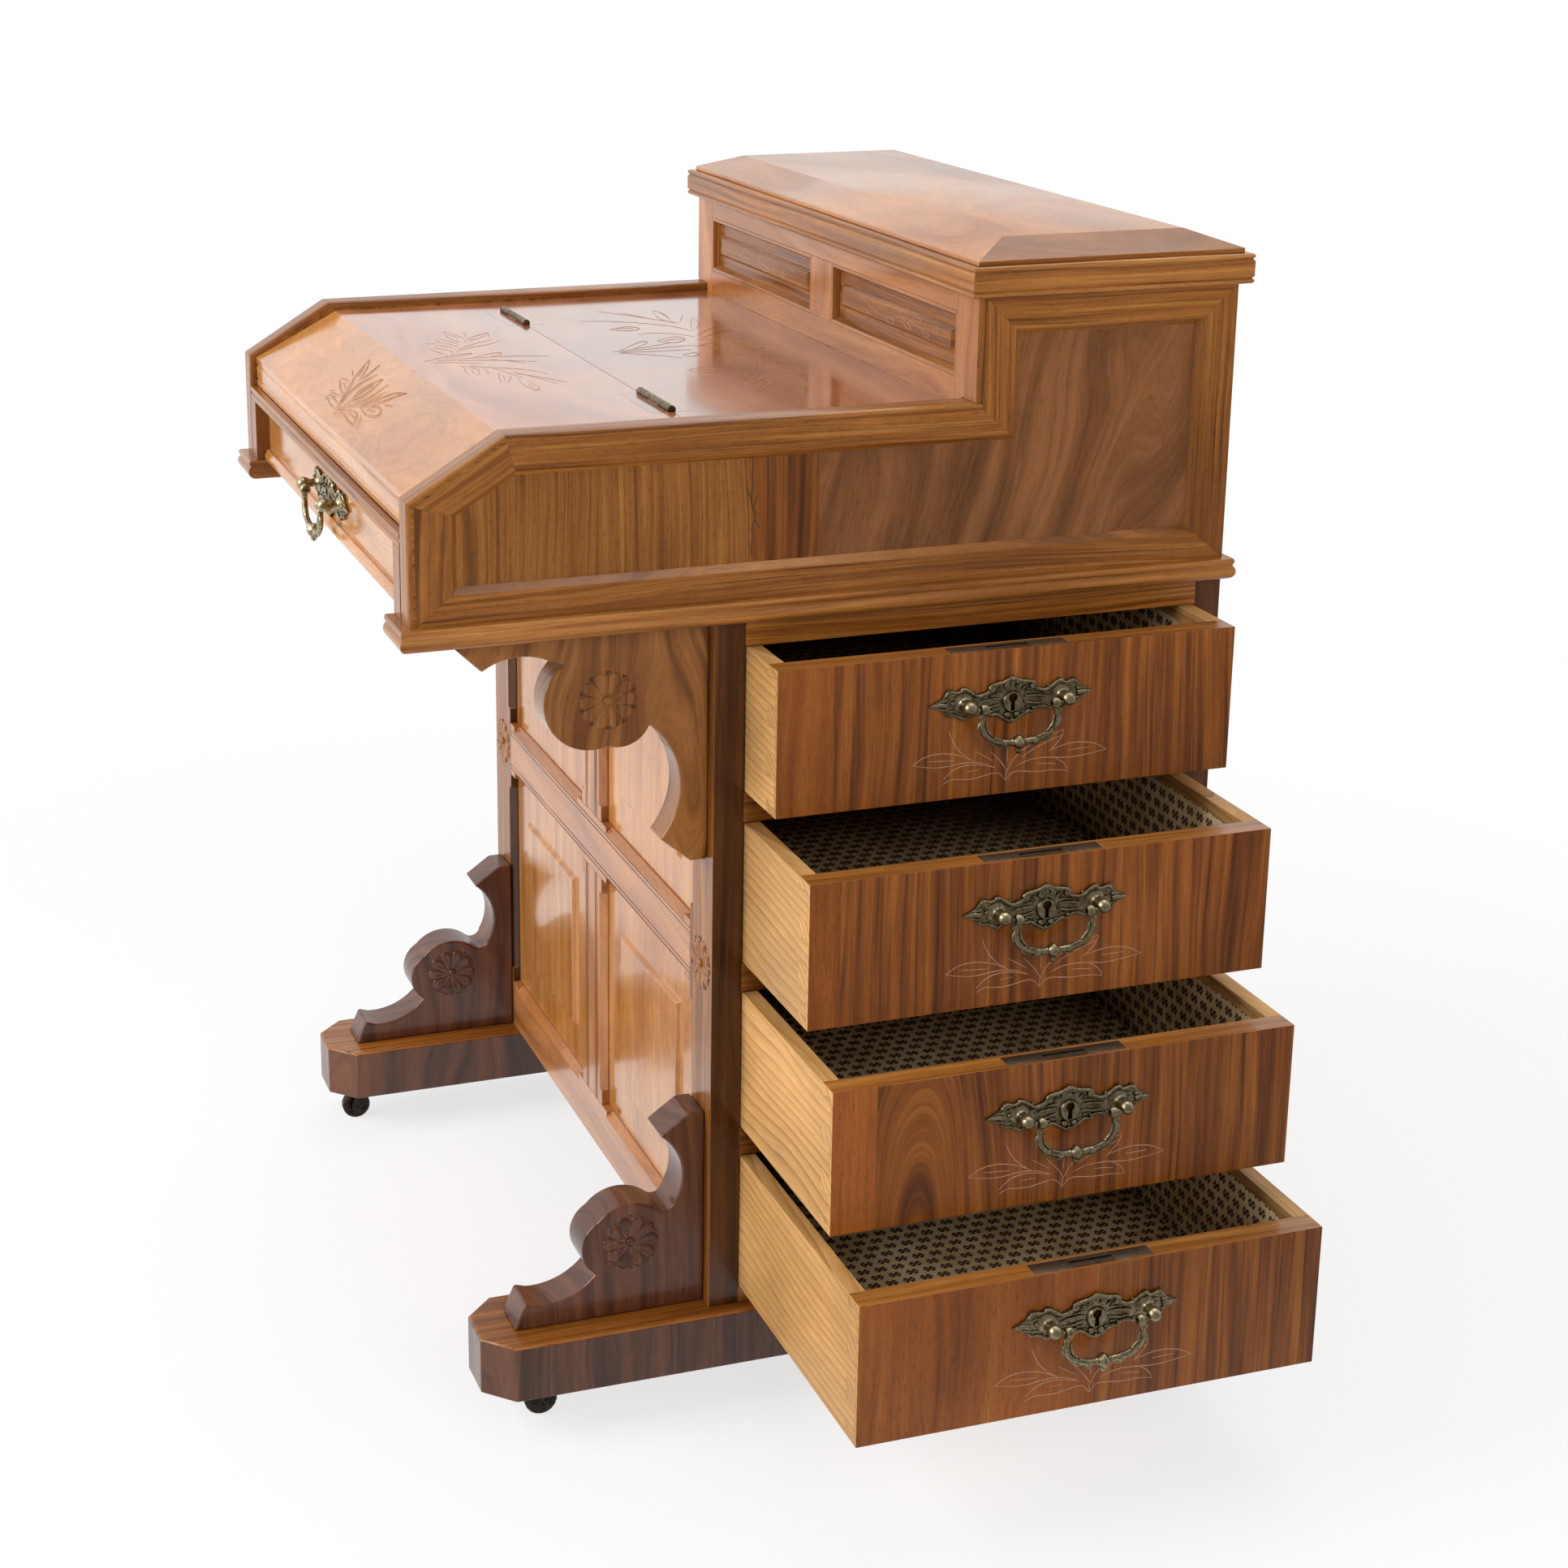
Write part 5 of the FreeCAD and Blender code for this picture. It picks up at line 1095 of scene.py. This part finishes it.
handle_y, handle_rise, left_face, front_place = 117.7, 74.5, -310, (0, -315.5, 698.3)
heights = {n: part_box(f"drawer_{n}_front")[0].z * 1000 + handle_rise for n in (1, 2, 3, 4)}
right = {
    n: stand(ACROSS, (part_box(f"drawer_{n}_front")[1].x * 1000, handle_y, z))
    for n, z in heights.items()
}
left = {n: stand((-1, 0, 0), (left_face, handle_y, z)) for n, z in heights.items()}
openers = [(f"drawer_{n}", f"drawer_{n}", there, drawer_lock) for n, there in right.items()]
openers += [("front", "front_drawer", stand((0, -1, 0), front_place), small_lock)]
for name, body, there, lock in openers:
    cast(name + "_cast_handle", plate_master, [there], body, body + "_handle")
    fit(name + "_lock", lock, [there], body, lock_steel)
    cast(name + "_cast_bail", bail_master, [there], body + "_bail", body + "_bail")
cast("dummy_cast_handles", plate_master, list(left.values()), "desk", "dummy_handles")
for n, there in left.items():
    cast(f"dummy_cast_bail_{n}", bail_master, [there], f"dummy_bail_{n}", f"dummy_bail_{n}")
print("nine handles fitted, at heights", {n: round(z, 1) for n, z in heights.items()})

# %% [markdown]
# ## Paper in the drawers
#
# The four drawers are lined with printed paper, cream with small dark leaf crosses in staggered
# rows. The paper is a thin sheet just off the wood, torn a little at its upper edge. The print is
# drawn from the paper's own millimetres, which are written on its corners, so it runs flat over
# each wall.

# %% Print the lining paper
def lining_paper(pitch=(15, 11)):
    """Cream paper with a leaf cross in every cell of the print, pitch in mm."""
    material, tree, output = blank("printed_lining_paper")
    place = add(tree, "Attribute", {"attribute_name": "sheet"}).outputs["Vector"]
    cells = add(tree, "VectorMath", {"operation": "DIVIDE", 1: (*pitch, 1)}, {0: place})
    split = add(tree, "SeparateXYZ", links={0: cells})
    row = add(tree, "Math", {"operation": "FLOOR"}, {0: split.outputs[1]})
    half = add(tree, "Math", {"operation": "MULTIPLY", 1: 0.5}, {0: row})
    moved = add(tree, "Math", {"operation": "ADD"}, {0: split.outputs[0], 1: half})
    u = add(tree, "Math", {"operation": "FRACT"}, {0: moved})
    v = add(tree, "Math", {"operation": "FRACT"}, {0: split.outputs[1]})
    cell = add(tree, "CombineXYZ", links={0: u, 1: v})
    middle = add(tree, "VectorMath", {"operation": "SUBTRACT", 1: (0.5, 0.5, 0)}, {0: cell})
    sized = add(tree, "VectorMath", {"operation": "MULTIPLY", 1: (*pitch, 0)}, {0: middle})
    quarter = add(tree, "VectorMath", {"operation": "ABSOLUTE"}, {0: sized})
    # each cross is four leaves, two small side leaves and a heart, as distances from their middles
    shape = None
    for centre, size in (((2.5, 2.1, 0), 1.75), ((4.5, 0, 0), 1.15), ((0, 0, 0), 1.7)):
        reach = add(tree, "VectorMath", {"operation": "DISTANCE", 1: centre}, {0: quarter})
        near = add(tree, "Math", {"operation": "DIVIDE", 1: size}, {0: reach.outputs["Value"]})
        shape = near if shape is None else add(
            tree, "Math", {"operation": "MINIMUM"}, {0: shape, 1: near})
    speck = add(tree, "TexNoise", {"Scale": 1.1, "Detail": 3.0}, {"Vector": place})
    ragged = add(tree, "Math", {"operation": "MULTIPLY_ADD", 1: 0.7},
                 {0: speck.outputs["Fac"], 2: shape})
    ink = add(tree, "MapRange", {"From Min": 1.28, "From Max": 1.42}, {"Value": ragged})
    stain = add(tree, "TexNoise", {"Scale": 0.02, "Detail": 4.0}, {"Vector": place})
    cream = add(tree, "ValToRGB", links={"Fac": stain.outputs["Fac"]},
                stops=[(0.3, "#b89a6c"), (0.5, "#d0b688"), (0.7, "#dcc79c")])
    print_colour = add(tree, "Mix", {"data_type": "RGBA", 6: linear("#3a2018")},
                       {0: ink, 7: cream})
    shader = add(tree, "BsdfPrincipled", {"Roughness": 0.8},
                 {"Base Color": print_colour.outputs[2]})
    tree.links.new(shader.outputs[0], output.inputs[0])
    return material


paper = lining_paper()
print("paper printed:", paper.name)

# %% Line the drawers
def line_drawer(n, board=13.3, front_board=27.5, back_lap=11.3, free_top=9, lower_back=12):
    """Paper on the floor and walls of a drawer, as thin sheets with a torn upper edge. The other
    numbers, in mm, are how far the sheets stay inside the box on each side."""
    low, high = (v * 1000 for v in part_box(f"drawer_{n}_box"))
    x0, x1 = low.x + back_lap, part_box(f"drawer_{n}_front")[1].x * 1000 - front_board
    y0, y1 = low.y + board, high.y - board
    z0, z1 = low.z + board, high.z - free_top
    frayed, tear, tear_step = 1.6, 5, 37
    chance = random.Random(n)
    bm = bmesh.new()
    sheet = bm.loops.layers.float_vector.new("sheet")
    # a sheet has a corner, the directions of its length and height, both lengths, and a torn edge
    sheets = [
        ((x0, y0, z0), DEEP, ACROSS, y1 - y0, x1 - x0, False),
        ((x0, y0, z0), ACROSS, UP, x1 - x0, z1 - z0, True),
        ((x1, y1, z0), (-1, 0, 0), UP, x1 - x0, z1 - z0, True),
        ((x0, y1, z0), (0, -1, 0), UP, y1 - y0, z1 - z0 - lower_back, True),
    ]
    for corner, along, up, length, height, torn in sheets:
        count = 40 if torn else 2
        made = bmesh.ops.create_grid(bm, x_segments=count, y_segments=2, size=0.5)["verts"]
        for v in made:
            u, w = (v.co.x + 0.5) * length, (v.co.y + 0.5) * height
            if torn and v.co.y > 0.4:
                w -= chance.uniform(0, frayed) + tear * max(0, math.sin(u / tear_step + n)) ** 8
            v.co = (Vector(corner) + Vector(along) * u + Vector(up) * w) / 1000
            for loop in v.link_loops:
                loop[sheet] = Vector((u + 40 * n, w, 0))
    bmesh.ops.recalc_face_normals(bm, faces=bm.faces)
    piece = finish_mesh(f"drawer_{n}_paper", bm, f"drawer_{n}", paper)
    thick = piece.modifiers.new("thickness", "SOLIDIFY")
    thick.thickness, thick.offset = 0.0002, 0
    return piece


for n in (1, 2, 3, 4):
    line_drawer(n)
print("four drawers lined")

# %% [markdown]
# ## Engraved sprays
#
# Leaf sprays were scratched through the polish with a fine gouge. On the drawer fronts the cut is
# pale against red wood, and on the bleached writing slope it's darker than the wood. Each stroke is
# a hair-thin tube, half sunk in the face, so it takes the light like the burr along a cut.

# %% Finishes of the cuts
def cut_finish(name, colour, rough):
    """The colour of a cut line, mottled over about 2 mm. It is the raw bottom of an engraved line,
    and in grooves, a crack and petal cuts it is painted shade.
    """
    material, tree, output = blank(name)
    where = add(tree, "TexCoord").outputs["Object"]
    mottle = add(tree, "TexNoise", {"Scale": 500.0, "Detail": 2.0}, {"Vector": where})
    depth = add(tree, "MapRange", {
        "From Min": 0.3, "From Max": 0.7, "To Min": 0.8, "To Max": 1.15,
    }, {"Value": mottle.outputs["Fac"]})
    shade = add(tree, "HueSaturation", {"Color": linear(colour)}, {"Value": depth})
    shader = add(tree, "BsdfPrincipled", {"Roughness": rough}, {"Base Color": shade})
    tree.links.new(shader.outputs[0], output.inputs[0])
    return material


pale_cut = cut_finish("scratched_polish", "#ad8468", 0.6)
dark_cut = cut_finish("gouged_walnut", "#8a5a34", 0.55)
# dark lines of painted shade for the grooves, the crack and the cuts between petals
painted_cut_shade = cut_finish("groove_shadow", "#4a2c16", 0.5)


def engrave(name, lines, places, body, material, radius):
    """Draws (u, v) lines, in mm, on each place given as a matrix."""
    bm = bmesh.new()
    swelling = (radius * 0.5, radius, radius * 0.5)
    strokes(bm, [([(u, v, 0.0) for u, v in line], swelling) for line in lines], ring=0)
    return fit(name, to_mesh("engraving", bm), places, body, material)


print("cuts:", pale_cut.name, dark_cut.name)

# %% Engrave the drawer fronts
drawer_spray = [
    [(-78.5, -44.5), (-72, -39.5), (-60, -37), (-46, -38.5), (-35.5, -42.5), (-28, -46.5)],
    [(-78.5, -44.5), (-65, -48), (-51.5, -48.5), (-38, -46.5), (-28.5, -47), (-19, -49),
     (-11, -53)], [(-66.5, -42.5), (-56, -43.5), (-45, -44)],
    [(-50, -20), (-47, -28), (-42, -35.5), (-35.5, -42), (-28, -46.5)],
    [(-27.5, -38.5), (-20.5, -42.5), (-13, -47.5)],
    [(-15.5, -39.5), (-8, -46.5), (-3.5, -52.5), (-1, -57)],
    [(-1, -57), (2.5, -50), (8, -44), (14.5, -39.5), (28.5, -33.5), (45.5, -28.5)],
    [(45.5, -28.5), (44.5, -34), (39.5, -39.5), (34, -44.5)], [(-1, -38.5), (-1, -44), (-1, -49.5)],
    [(11, -47), (20.5, -41.5), (32.5, -36.5), (44, -33)],
    [(34, -44), (43.5, -41), (55.5, -39.5), (68, -41), (76, -44), (82, -48)],
    [(82, -48), (69.5, -50), (55.5, -51.5), (45, -51), (38, -50), (28.5, -49), (17.5, -49.5),
     (11, -52), (7, -53.5)], [(49.5, -45.5), (58, -45), (67.5, -45)],
    [(-11, -53), (-25, -48.5), (-39.5, -49), (-47.5, -52.5), (-53.5, -58.5)],
    [(-53.5, -62), (-47.5, -58.5), (-41, -59.5), (-30, -60.5), (-19, -58.5), (-11, -57),
     (-5.5, -58.5), (-1.5, -64.5)], [(-34.5, -54), (-24, -53.5)],
    [(-1.5, -64.5), (1.5, -59.5), (7, -57.5), (16.5, -59), (27, -60.5), (38, -59.5), (50, -62)],
    [(38, -50), (45, -53.5), (49, -58.5), (50, -62)], [(24.5, -53.5), (32.5, -54), (40, -55.5)],
    [(-1.5, -57), (-1.5, -60.5), (-1.5, -64.5)],
]
for n, there in right.items():
    engrave(f"drawer_{n}_spray", drawer_spray, [there], f"drawer_{n}", pale_cut, 0.42)
engrave("dummy_sprays", drawer_spray, list(left.values()), "desk", pale_cut, 0.42)
print("drawer sprays of", len(drawer_spray), "strokes")

# %% [markdown]
# The writing slope carries a small spray of buds and grasses, the flat of the flap a garland of
# leaves, and the board behind it the largest one, with pods and bell flowers.

# %% Draw the slope's spray
slope_spray = [
    [(5, -32), (-13, -21), (-38, -6), (-64, 7), (-82, 25)],
    [(-82, 25), (-69, 21), (-54, 13), (-42, 4)], [(-55, 7), (-64, 12), (-70, 18)],
    [(-3, -27), (-19, -17), (-30, -4), (-34, 9), (-29, 19)], [(-42, 8), (-44, 16), (-52, 27)],
    [(-1, -13), (-11, -8), (-18, 7), (-10, 19)], [(-10, 19), (1, 7), (5, -3), (5, -11), (-1, -13)],
    [(-3, -10), (-10, 0), (-9, 10)], [(3, -28), (4, -23), (-1, -14)],
    [(5, -26), (18, -11), (18, 4), (12, 18)], [(27, -13), (29, 0), (27, 12)],
    [(31, -10), (37, 6), (41, 17), (60, 22)], [(60, 22), (51, 14), (48, 5), (41, -6)],
    [(26, -12), (50, -15), (65, -12), (76, -8), (64, -2), (48, -2), (38, -8)],
    [(43, -10), (52, -8), (58, -7)], [(5, -32), (20, -25), (37, -28), (58, -27), (62, -29)],
    [(61, -28), (46, -19), (26, -17), (7, -27)], [(24, -23), (36, -22), (47, -22)],
    [(49, -17), (62, -21), (74, -28)], [(-8, -27), (-29, -28), (-40, -25), (-50, -26)],
    [(-50, -26), (-45, -17), (-27, -15)], [(-40, -21), (-29, -22), (-20, -22)],
    [(-59, -20), (-57, -18), (-51, -16)], [(-32, -13), (-53, -12), (-71, -6), (-75, -7)],
    [(-77, -5), (-73, -2), (-57, -1)], [(-61, -6), (-50, -7), (-44, -8)],
    [(-65, 4), (-72, 6), (-81, 8)], [(57, 2), (63, 5), (72, 6)],
]
print("slope spray of", len(slope_spray), "strokes")

# %% Draw the flap's garland
flap_garland = [
    [(-151, -8), (-138, -7), (-113, -12), (-93, -5)], [(-148, -6), (-128, 1), (-108, 2)],
    [(-133, -6), (-122, -4), (-113, -2)], [(-143, 9), (-133, 9), (-115, 5)],
    [(-93, -3), (-113, 7), (-133, 29), (-123, 28), (-110, 23)], [(-100, 4), (-105, 12), (-120, 24)],
    [(-115, -23), (-103, -24), (-96, -21)], [(-115, -20), (-103, -10), (-79, -10)],
    [(-98, -20), (-81, -13), (-69, -14)], [(-98, -35), (-91, -33), (-96, -27)],
    [(-86, -30), (-81, -18), (-59, -18)], [(-79, -38), (-62, -38), (-45, -31), (-36, -32)],
    [(-76, -34), (-62, -24), (-50, -23), (-41, -27)], [(-50, -22), (-71, -4), (-74, 13), (-91, 28)],
    [(-62, -16), (-81, -3), (-98, 23)],
    [(-19, -56), (-29, -40), (-41, -21), (-43, -8), (-36, -13), (-27, -35)],
    [(-24, -13), (-38, 5), (-38, 16), (-29, 12), (-22, 2)], [(-12, -51), (-6, -30), (5, -12)],
    [(-18, -45), (-13, -20), (-4, 9), (10, 32)], [(-22, -39), (-22, 2), (-18, 26), (-12, 49)],
    [(-11, -2), (3, 15), (13, 21)], [(7, -33), (21, -31), (32, -36), (53, -36)],
    [(10, -31), (18, -23), (40, -24), (51, -30)], [(23, -28), (36, -29), (45, -31)],
    [(27, -18), (40, -17), (51, -21)], [(12, -26), (27, -7), (38, 15), (64, 26)],
    [(23, -11), (53, -3), (72, 2)], [(45, -10), (62, -16), (87, -20)],
    [(53, -5), (70, -5), (89, -16)], [(57, -11), (66, -11), (78, -15)],
    [(74, -2), (95, -7), (129, -3), (115, 5), (83, 2)], [(95, -1), (107, -1), (113, 0)],
    [(45, 0), (74, 13), (103, 21)], [(53, 1), (83, 23), (101, 30)],
]
print("flap garland of", len(flap_garland), "strokes")

# %% Draw the board's garland
board_garland = [
    [(-161, -54), (-155, -14), (-109, 18)], [(-205, -23), (-163, 6), (-126, 27)],
    [(-193, -9), (-180, 2), (-159, 8)],
    [(-113, -41), (-128, -23), (-109, -11), (-99, -31), (-113, -41)],
    [(-113, -36), (-118, -27), (-112, -20)], [(-198, 25), (-172, 21), (-146, 16), (-126, 24)],
    [(-196, 26), (-172, 34), (-138, 23)], [(-180, 28), (-167, 29), (-151, 26)],
    [(-163, 43), (-146, 37), (-130, 29)], [(-148, 48), (-113, 31), (-85, 27)],
    [(-148, 48), (-118, 47), (-93, 31)], [(-83, -25), (-93, 1), (-58, 18)],
    [(-130, 1), (-113, 20), (-85, 25)], [(-49, -19), (-70, 1), (-49, 10), (-31, -12), (-49, -19)],
    [(-49, -13), (-54, -2), (-49, 5)], [(-14, -64), (-44, -41), (-54, -27), (-39, -31), (-20, -50)],
    [(-11, -71), (-20, -40), (-39, -9)], [(-7, -66), (-2, -36), (-2, -5)],
    [(-5, -67), (13, -38), (32, -25)], [(-9, -63), (-20, -24), (-20, 5)],
    [(20, -20), (9, -9), (20, -3), (32, -17), (20, -20)], [(-62, 22), (-81, 34), (-97, 50)],
    [(-50, 21), (-66, 37), (-80, 60)], [(-43, 14), (-44, 41), (-7, 63)],
    [(-13, 3), (-31, 23), (-28, 48), (-7, 63)], [(-16, 5), (-20, 15), (2, 17)],
    [(-20, 31), (-9, 35), (-2, 27)], [(-7, 63), (-5, 43), (-16, 38)],
    [(6, 16), (16, 37), (13, 56), (2, 59)], [(38, -2), (24, 17), (39, 43)],
    [(83, -37), (71, -19), (94, -10), (102, -31), (83, -37)], [(86, -32), (83, -22), (91, -16)],
    [(31, 13), (52, 20), (79, 0)], [(31, 21), (62, 21), (83, 10)], [(38, 26), (73, 26), (93, 17)],
    [(45, 31), (86, 27), (142, -13)], [(52, 34), (99, 26), (139, -2)],
    [(106, -1), (93, 6), (99, 14)],
    [(186, -20), (161, -15), (129, 13), (151, 9), (173, -2), (186, -20)],
    [(173, -12), (158, -1), (145, 6)], [(79, 30), (96, 51), (123, 52)],
    [(86, 29), (113, 42), (127, 50)], [(96, 26), (135, 33), (170, 34), (176, 29), (119, 20)],
    [(52, 39), (66, 47), (86, 58)],
]
print("board garland of", len(board_garland), "strokes")

# %% Engrave the writing surface
def lay(centre, up, wide=1.0, tall=1.0):
    """A place on a face: u along X, v along up, both scaled."""
    up = Vector(up).normalized()
    rows = Vector((wide, 0, 0)), up * tall, Vector(ACROSS).cross(up)
    matrix = Matrix(rows).transposed().to_4x4()
    matrix.translation = mm(*centre)
    return matrix


surface_z, slope_middle, slope_way = 799.5, (0, -285, 780.75), (0, 74, 37)
for name, garland, place, body, radius in (
    ("slope_spray", slope_spray, lay(slope_middle, slope_way), "writing_flap", 0.34),
    ("flap_garland", flap_garland, lay((0, -175, surface_z), DEEP), "writing_flap", 0.34),
    ("board_garland", board_garland, lay((0, 0, surface_z), DEEP), "desk", 0.36),
):
    engrave(name, garland, [place], body, dark_cut, radius)
print("cuts in the writing surface:", len(slope_spray) + len(flap_garland) + len(board_garland))

# %% [markdown]
# Smaller cuts: a sprig on each panel of the gallery and a fern on the stile between them, and fine
# grooves along the rails and muntins of the pedestal's front, drawn as dark lines of painted shade.
# One seam of the side veneer has opened to a crack, whose dark line is painted shade too.

# %% Engrave the gallery front
sprig = [
    [(-64, 3), (-50, 5), (-36, -1), (-20, -4), (0, 0), (22, 3), (44, -2), (62, 2)],
    [(-64, 3), (-58, 7), (-50, 6)], [(-42, 1), (-48, -6), (-40, -6), (-36, -1)],
    [(-30, -3), (-30, 5), (-20, 7), (-22, 0), (-30, -3)],
    [(-16, -4), (-8, -8), (2, -6), (-4, -2), (-16, -4)],
    [(-6, -2), (0, 6), (12, 7), (8, 1), (-6, -2)], [(10, 2), (18, -5), (30, -6), (24, 0), (10, 2)],
    [(26, 3), (34, 8), (46, 6), (38, 1), (26, 3)],
    [(44, -2), (50, -7), (58, -5), (52, -1), (44, -2)],
    [(62, 2), (66, 5), (69, 2), (66, -1), (62, 2)],
]
fern, leaf_step = [[(0, 0.0), (0.4, 24), (0, 46)]], 6
for k in range(7):
    low = leaf_step * k
    fern += [[(0, low + 4), (s * 5, low + 7), (s * 9, low + 12)] for s in (1, -1)]
panel_x, panel_y, panel_z, wide, tall = 147.75, 113.5, 845.5, 1.2, 0.95
muntin_y, fern_foot, fine_cut = 110.5, 822, 0.36
panel_places = [lay((s * panel_x, panel_y, panel_z), UP, s * wide, tall) for s in (1, -1)]
engrave("gallery_sprigs", sprig, panel_places, "desk", pale_cut, fine_cut)
engrave("gallery_fern", fern, [lay((0, muntin_y, fern_foot), UP, 1.0, tall)], "desk", pale_cut,
        fine_cut)
print("sprig of", len(sprig), "strokes and fern of", len(fern))

# %% Grooves, crack and petal cuts
post_in, rail_low, rail_high, front_low, front_high = 259, 346.5, 398.5, 131.5, 623.5
inner, outer, muntin_edge = 11, 7, 22
rail_grooves = [
    [(-post_in, z), (0, z), (post_in, z)]
    for z in (rail_low + outer, rail_low + inner, rail_high - inner, rail_high - outer)
]
muntin_grooves = [
    [(s * (muntin_edge - from_edge), z) for z in (low, (low + high) / 2, high)]
    for low, high in ((front_low, rail_low), (rail_high, front_high))
    for s, from_edge in ((-1, outer), (-1, inner), (1, inner), (1, outer))
]
# the grooves are dark lines of painted shade
pedestal_face = lay((0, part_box("pedestal_front_frame")[0].y * 1000, 0), UP)
engrave("pedestal_grooves", rail_grooves + muntin_grooves, [pedestal_face], "desk", painted_cut_shade,
        0.6)
# the crack is a dark line of painted shade in the opened seam
crack = [
    [(0.4, 700.5), (-0.8, 707), (0.9, 716), (-0.4, 722), (1.6, 729), (3.4, 733), (0.6, 738),
     (-1.0, 746), (0.8, 754), (-0.3, 763), (1.0, 771), (-0.6, 780), (0.2, 789)],
    [(1.6, 729), (4.5, 727), (6.2, 723)], [(-1.0, 746), (-3.4, 750), (-3.8, 755)],
    [(0.6, 738), (3.2, 742), (3.9, 748)],
]
side_x = 304
sides = [stand((s, 0, 0), (s * side_x, side_seams[0], 0)) for s in (1, -1)]
engrave("veneer_crack", crack, sides, "desk", painted_cut_shade, 0.55)
# dark prisms between the petals: painted shade of the cuts
place_rosettes("petal_cuts", low_spots + high_spots + stile_spots, painted_cut_shade, shape=petal_tips)
print("grooves:", len(rail_grooves) + len(muntin_grooves))

# %% [markdown]
# ## Light, floor and background
#
# The desk stands in a white studio: one large soft lamp from the front and above, a weaker one on
# the drawer side, and a pale room all round. The camera sees plain white behind the desk, and so
# does the polish, but on the drawer side it mirrors the dim end of the room.

# %% Hang the lamps
def soft_lamp(name, place, size, power, in_polish=True):
    """A square lamp, size in m and power in W, turned to the middle of the desk."""
    place, middle = Vector(place), Vector((0, 0, 0.5))
    data = bpy.data.lights.new(name, "AREA")
    data.shape, data.size, data.energy = "SQUARE", size, power
    lamp = put(name, data)
    lamp.location = place
    lamp.rotation_mode = "QUATERNION"
    lamp.rotation_quaternion = (middle - place).to_track_quat("-Z", "Y")
    lamp.visible_glossy = in_polish
    return lamp


soft_lamp("key_lamp", (0.0, -3.0, 2.0), 2.0, 105)
# the side lamp would lay a milky veil over the drawer fronts, so the polish doesn't mirror it
soft_lamp("side_lamp", (3.2, 0.4, 1.9), 2.0, 50, in_polish=False)
soft_lamp("top_lamp", (-0.6, 0.6, 3.3), 2.4, 40)

# %% Paint the room
white = (1, 1, 1, 1)


def white_room():
    """A world that is white to the camera, dimmer in the polish and soft on the desk."""
    world = bpy.data.worlds.new("white_room")
    world.use_nodes = True
    tree = world.node_tree
    tree.nodes.clear()
    rays = add(tree, "LightPath")
    # the wall behind the desk is white, and the side where the photographer stands is dim
    way = add(tree, "TexCoord").outputs["Generated"]
    split = add(tree, "SeparateXYZ", links={0: way})
    wall = add(tree, "MapRange", {
        "From Min": -0.1, "From Max": 0.6, "To Min": 1.0, "To Max": 0.3,
    }, {"Value": split.outputs[0]})
    gloss = add(tree, "Math", {"operation": "MULTIPLY"},
                {0: rays.outputs["Is Glossy Ray"], 1: wall})
    clear = add(tree, "Math", {"operation": "MAXIMUM"},
                {0: rays.outputs["Is Camera Ray"], 1: rays.outputs["Is Transmission Ray"]})
    shown = add(tree, "Math", {"operation": "MAXIMUM"}, {0: gloss, 1: clear})
    strength = add(tree, "Math", {"operation": "MAXIMUM", 1: 0.3}, {0: shown})
    sky = add(tree, "Background", {"Color": white}, {"Strength": strength})
    add(tree, "OutputWorld", links={"Surface": sky})
    bpy.context.scene.world = world


white_room()
bpy.context.scene.view_settings.view_transform = "Standard"
print("room:", bpy.context.scene.world.name)

# %% Lay the floor
def add_floor():
    """A pale floor that takes the desk's shadow near it and goes to plain white further out."""
    material, tree, output = blank("white_studio_floor")
    rays = add(tree, "LightPath")
    where = add(tree, "TexCoord").outputs["Object"]
    matt = add(tree, "BsdfDiffuse", {"Color": (0.9, 0.9, 0.9, 1)})
    plain = add(tree, "Emission", {"Color": white})
    far = add(tree, "VectorMath", {"operation": "LENGTH"}, {0: where})
    fade = add(tree, "MapRange",
               {"From Min": 0.55, "From Max": 1.5, "To Min": 0.72, "To Max": 1.0},
               {"Value": far.outputs["Value"]})
    share = add(tree, "Math", {"operation": "MULTIPLY"},
                {0: rays.outputs["Is Camera Ray"], 1: fade})
    seen = add(tree, "MixShader", links={0: share, 1: matt, 2: plain})
    # in the polish the floor is white too, and dim on the drawer side like the room there
    split = add(tree, "SeparateXYZ", links={0: where})
    dim = add(tree, "MapRange", {
        "From Min": 0.2, "From Max": 1.0, "To Min": 1.0, "To Max": 0.25,
    }, {"Value": split.outputs[0]})
    glow = add(tree, "Emission", {"Color": white}, {"Strength": dim})
    shown = add(tree, "MixShader", links={0: rays.outputs["Is Glossy Ray"], 1: seen, 2: glow})
    tree.links.new(shown.outputs[0], output.inputs[0])
    bm = bmesh.new()
    bmesh.ops.create_grid(bm, x_segments=1, y_segments=1, size=12)
    mesh = to_mesh("floor", bm)
    mesh.materials.append(material)
    floor = put("floor", mesh)
    return floor


floor = add_floor()
print("floor of", round(floor.dimensions.x), "m")
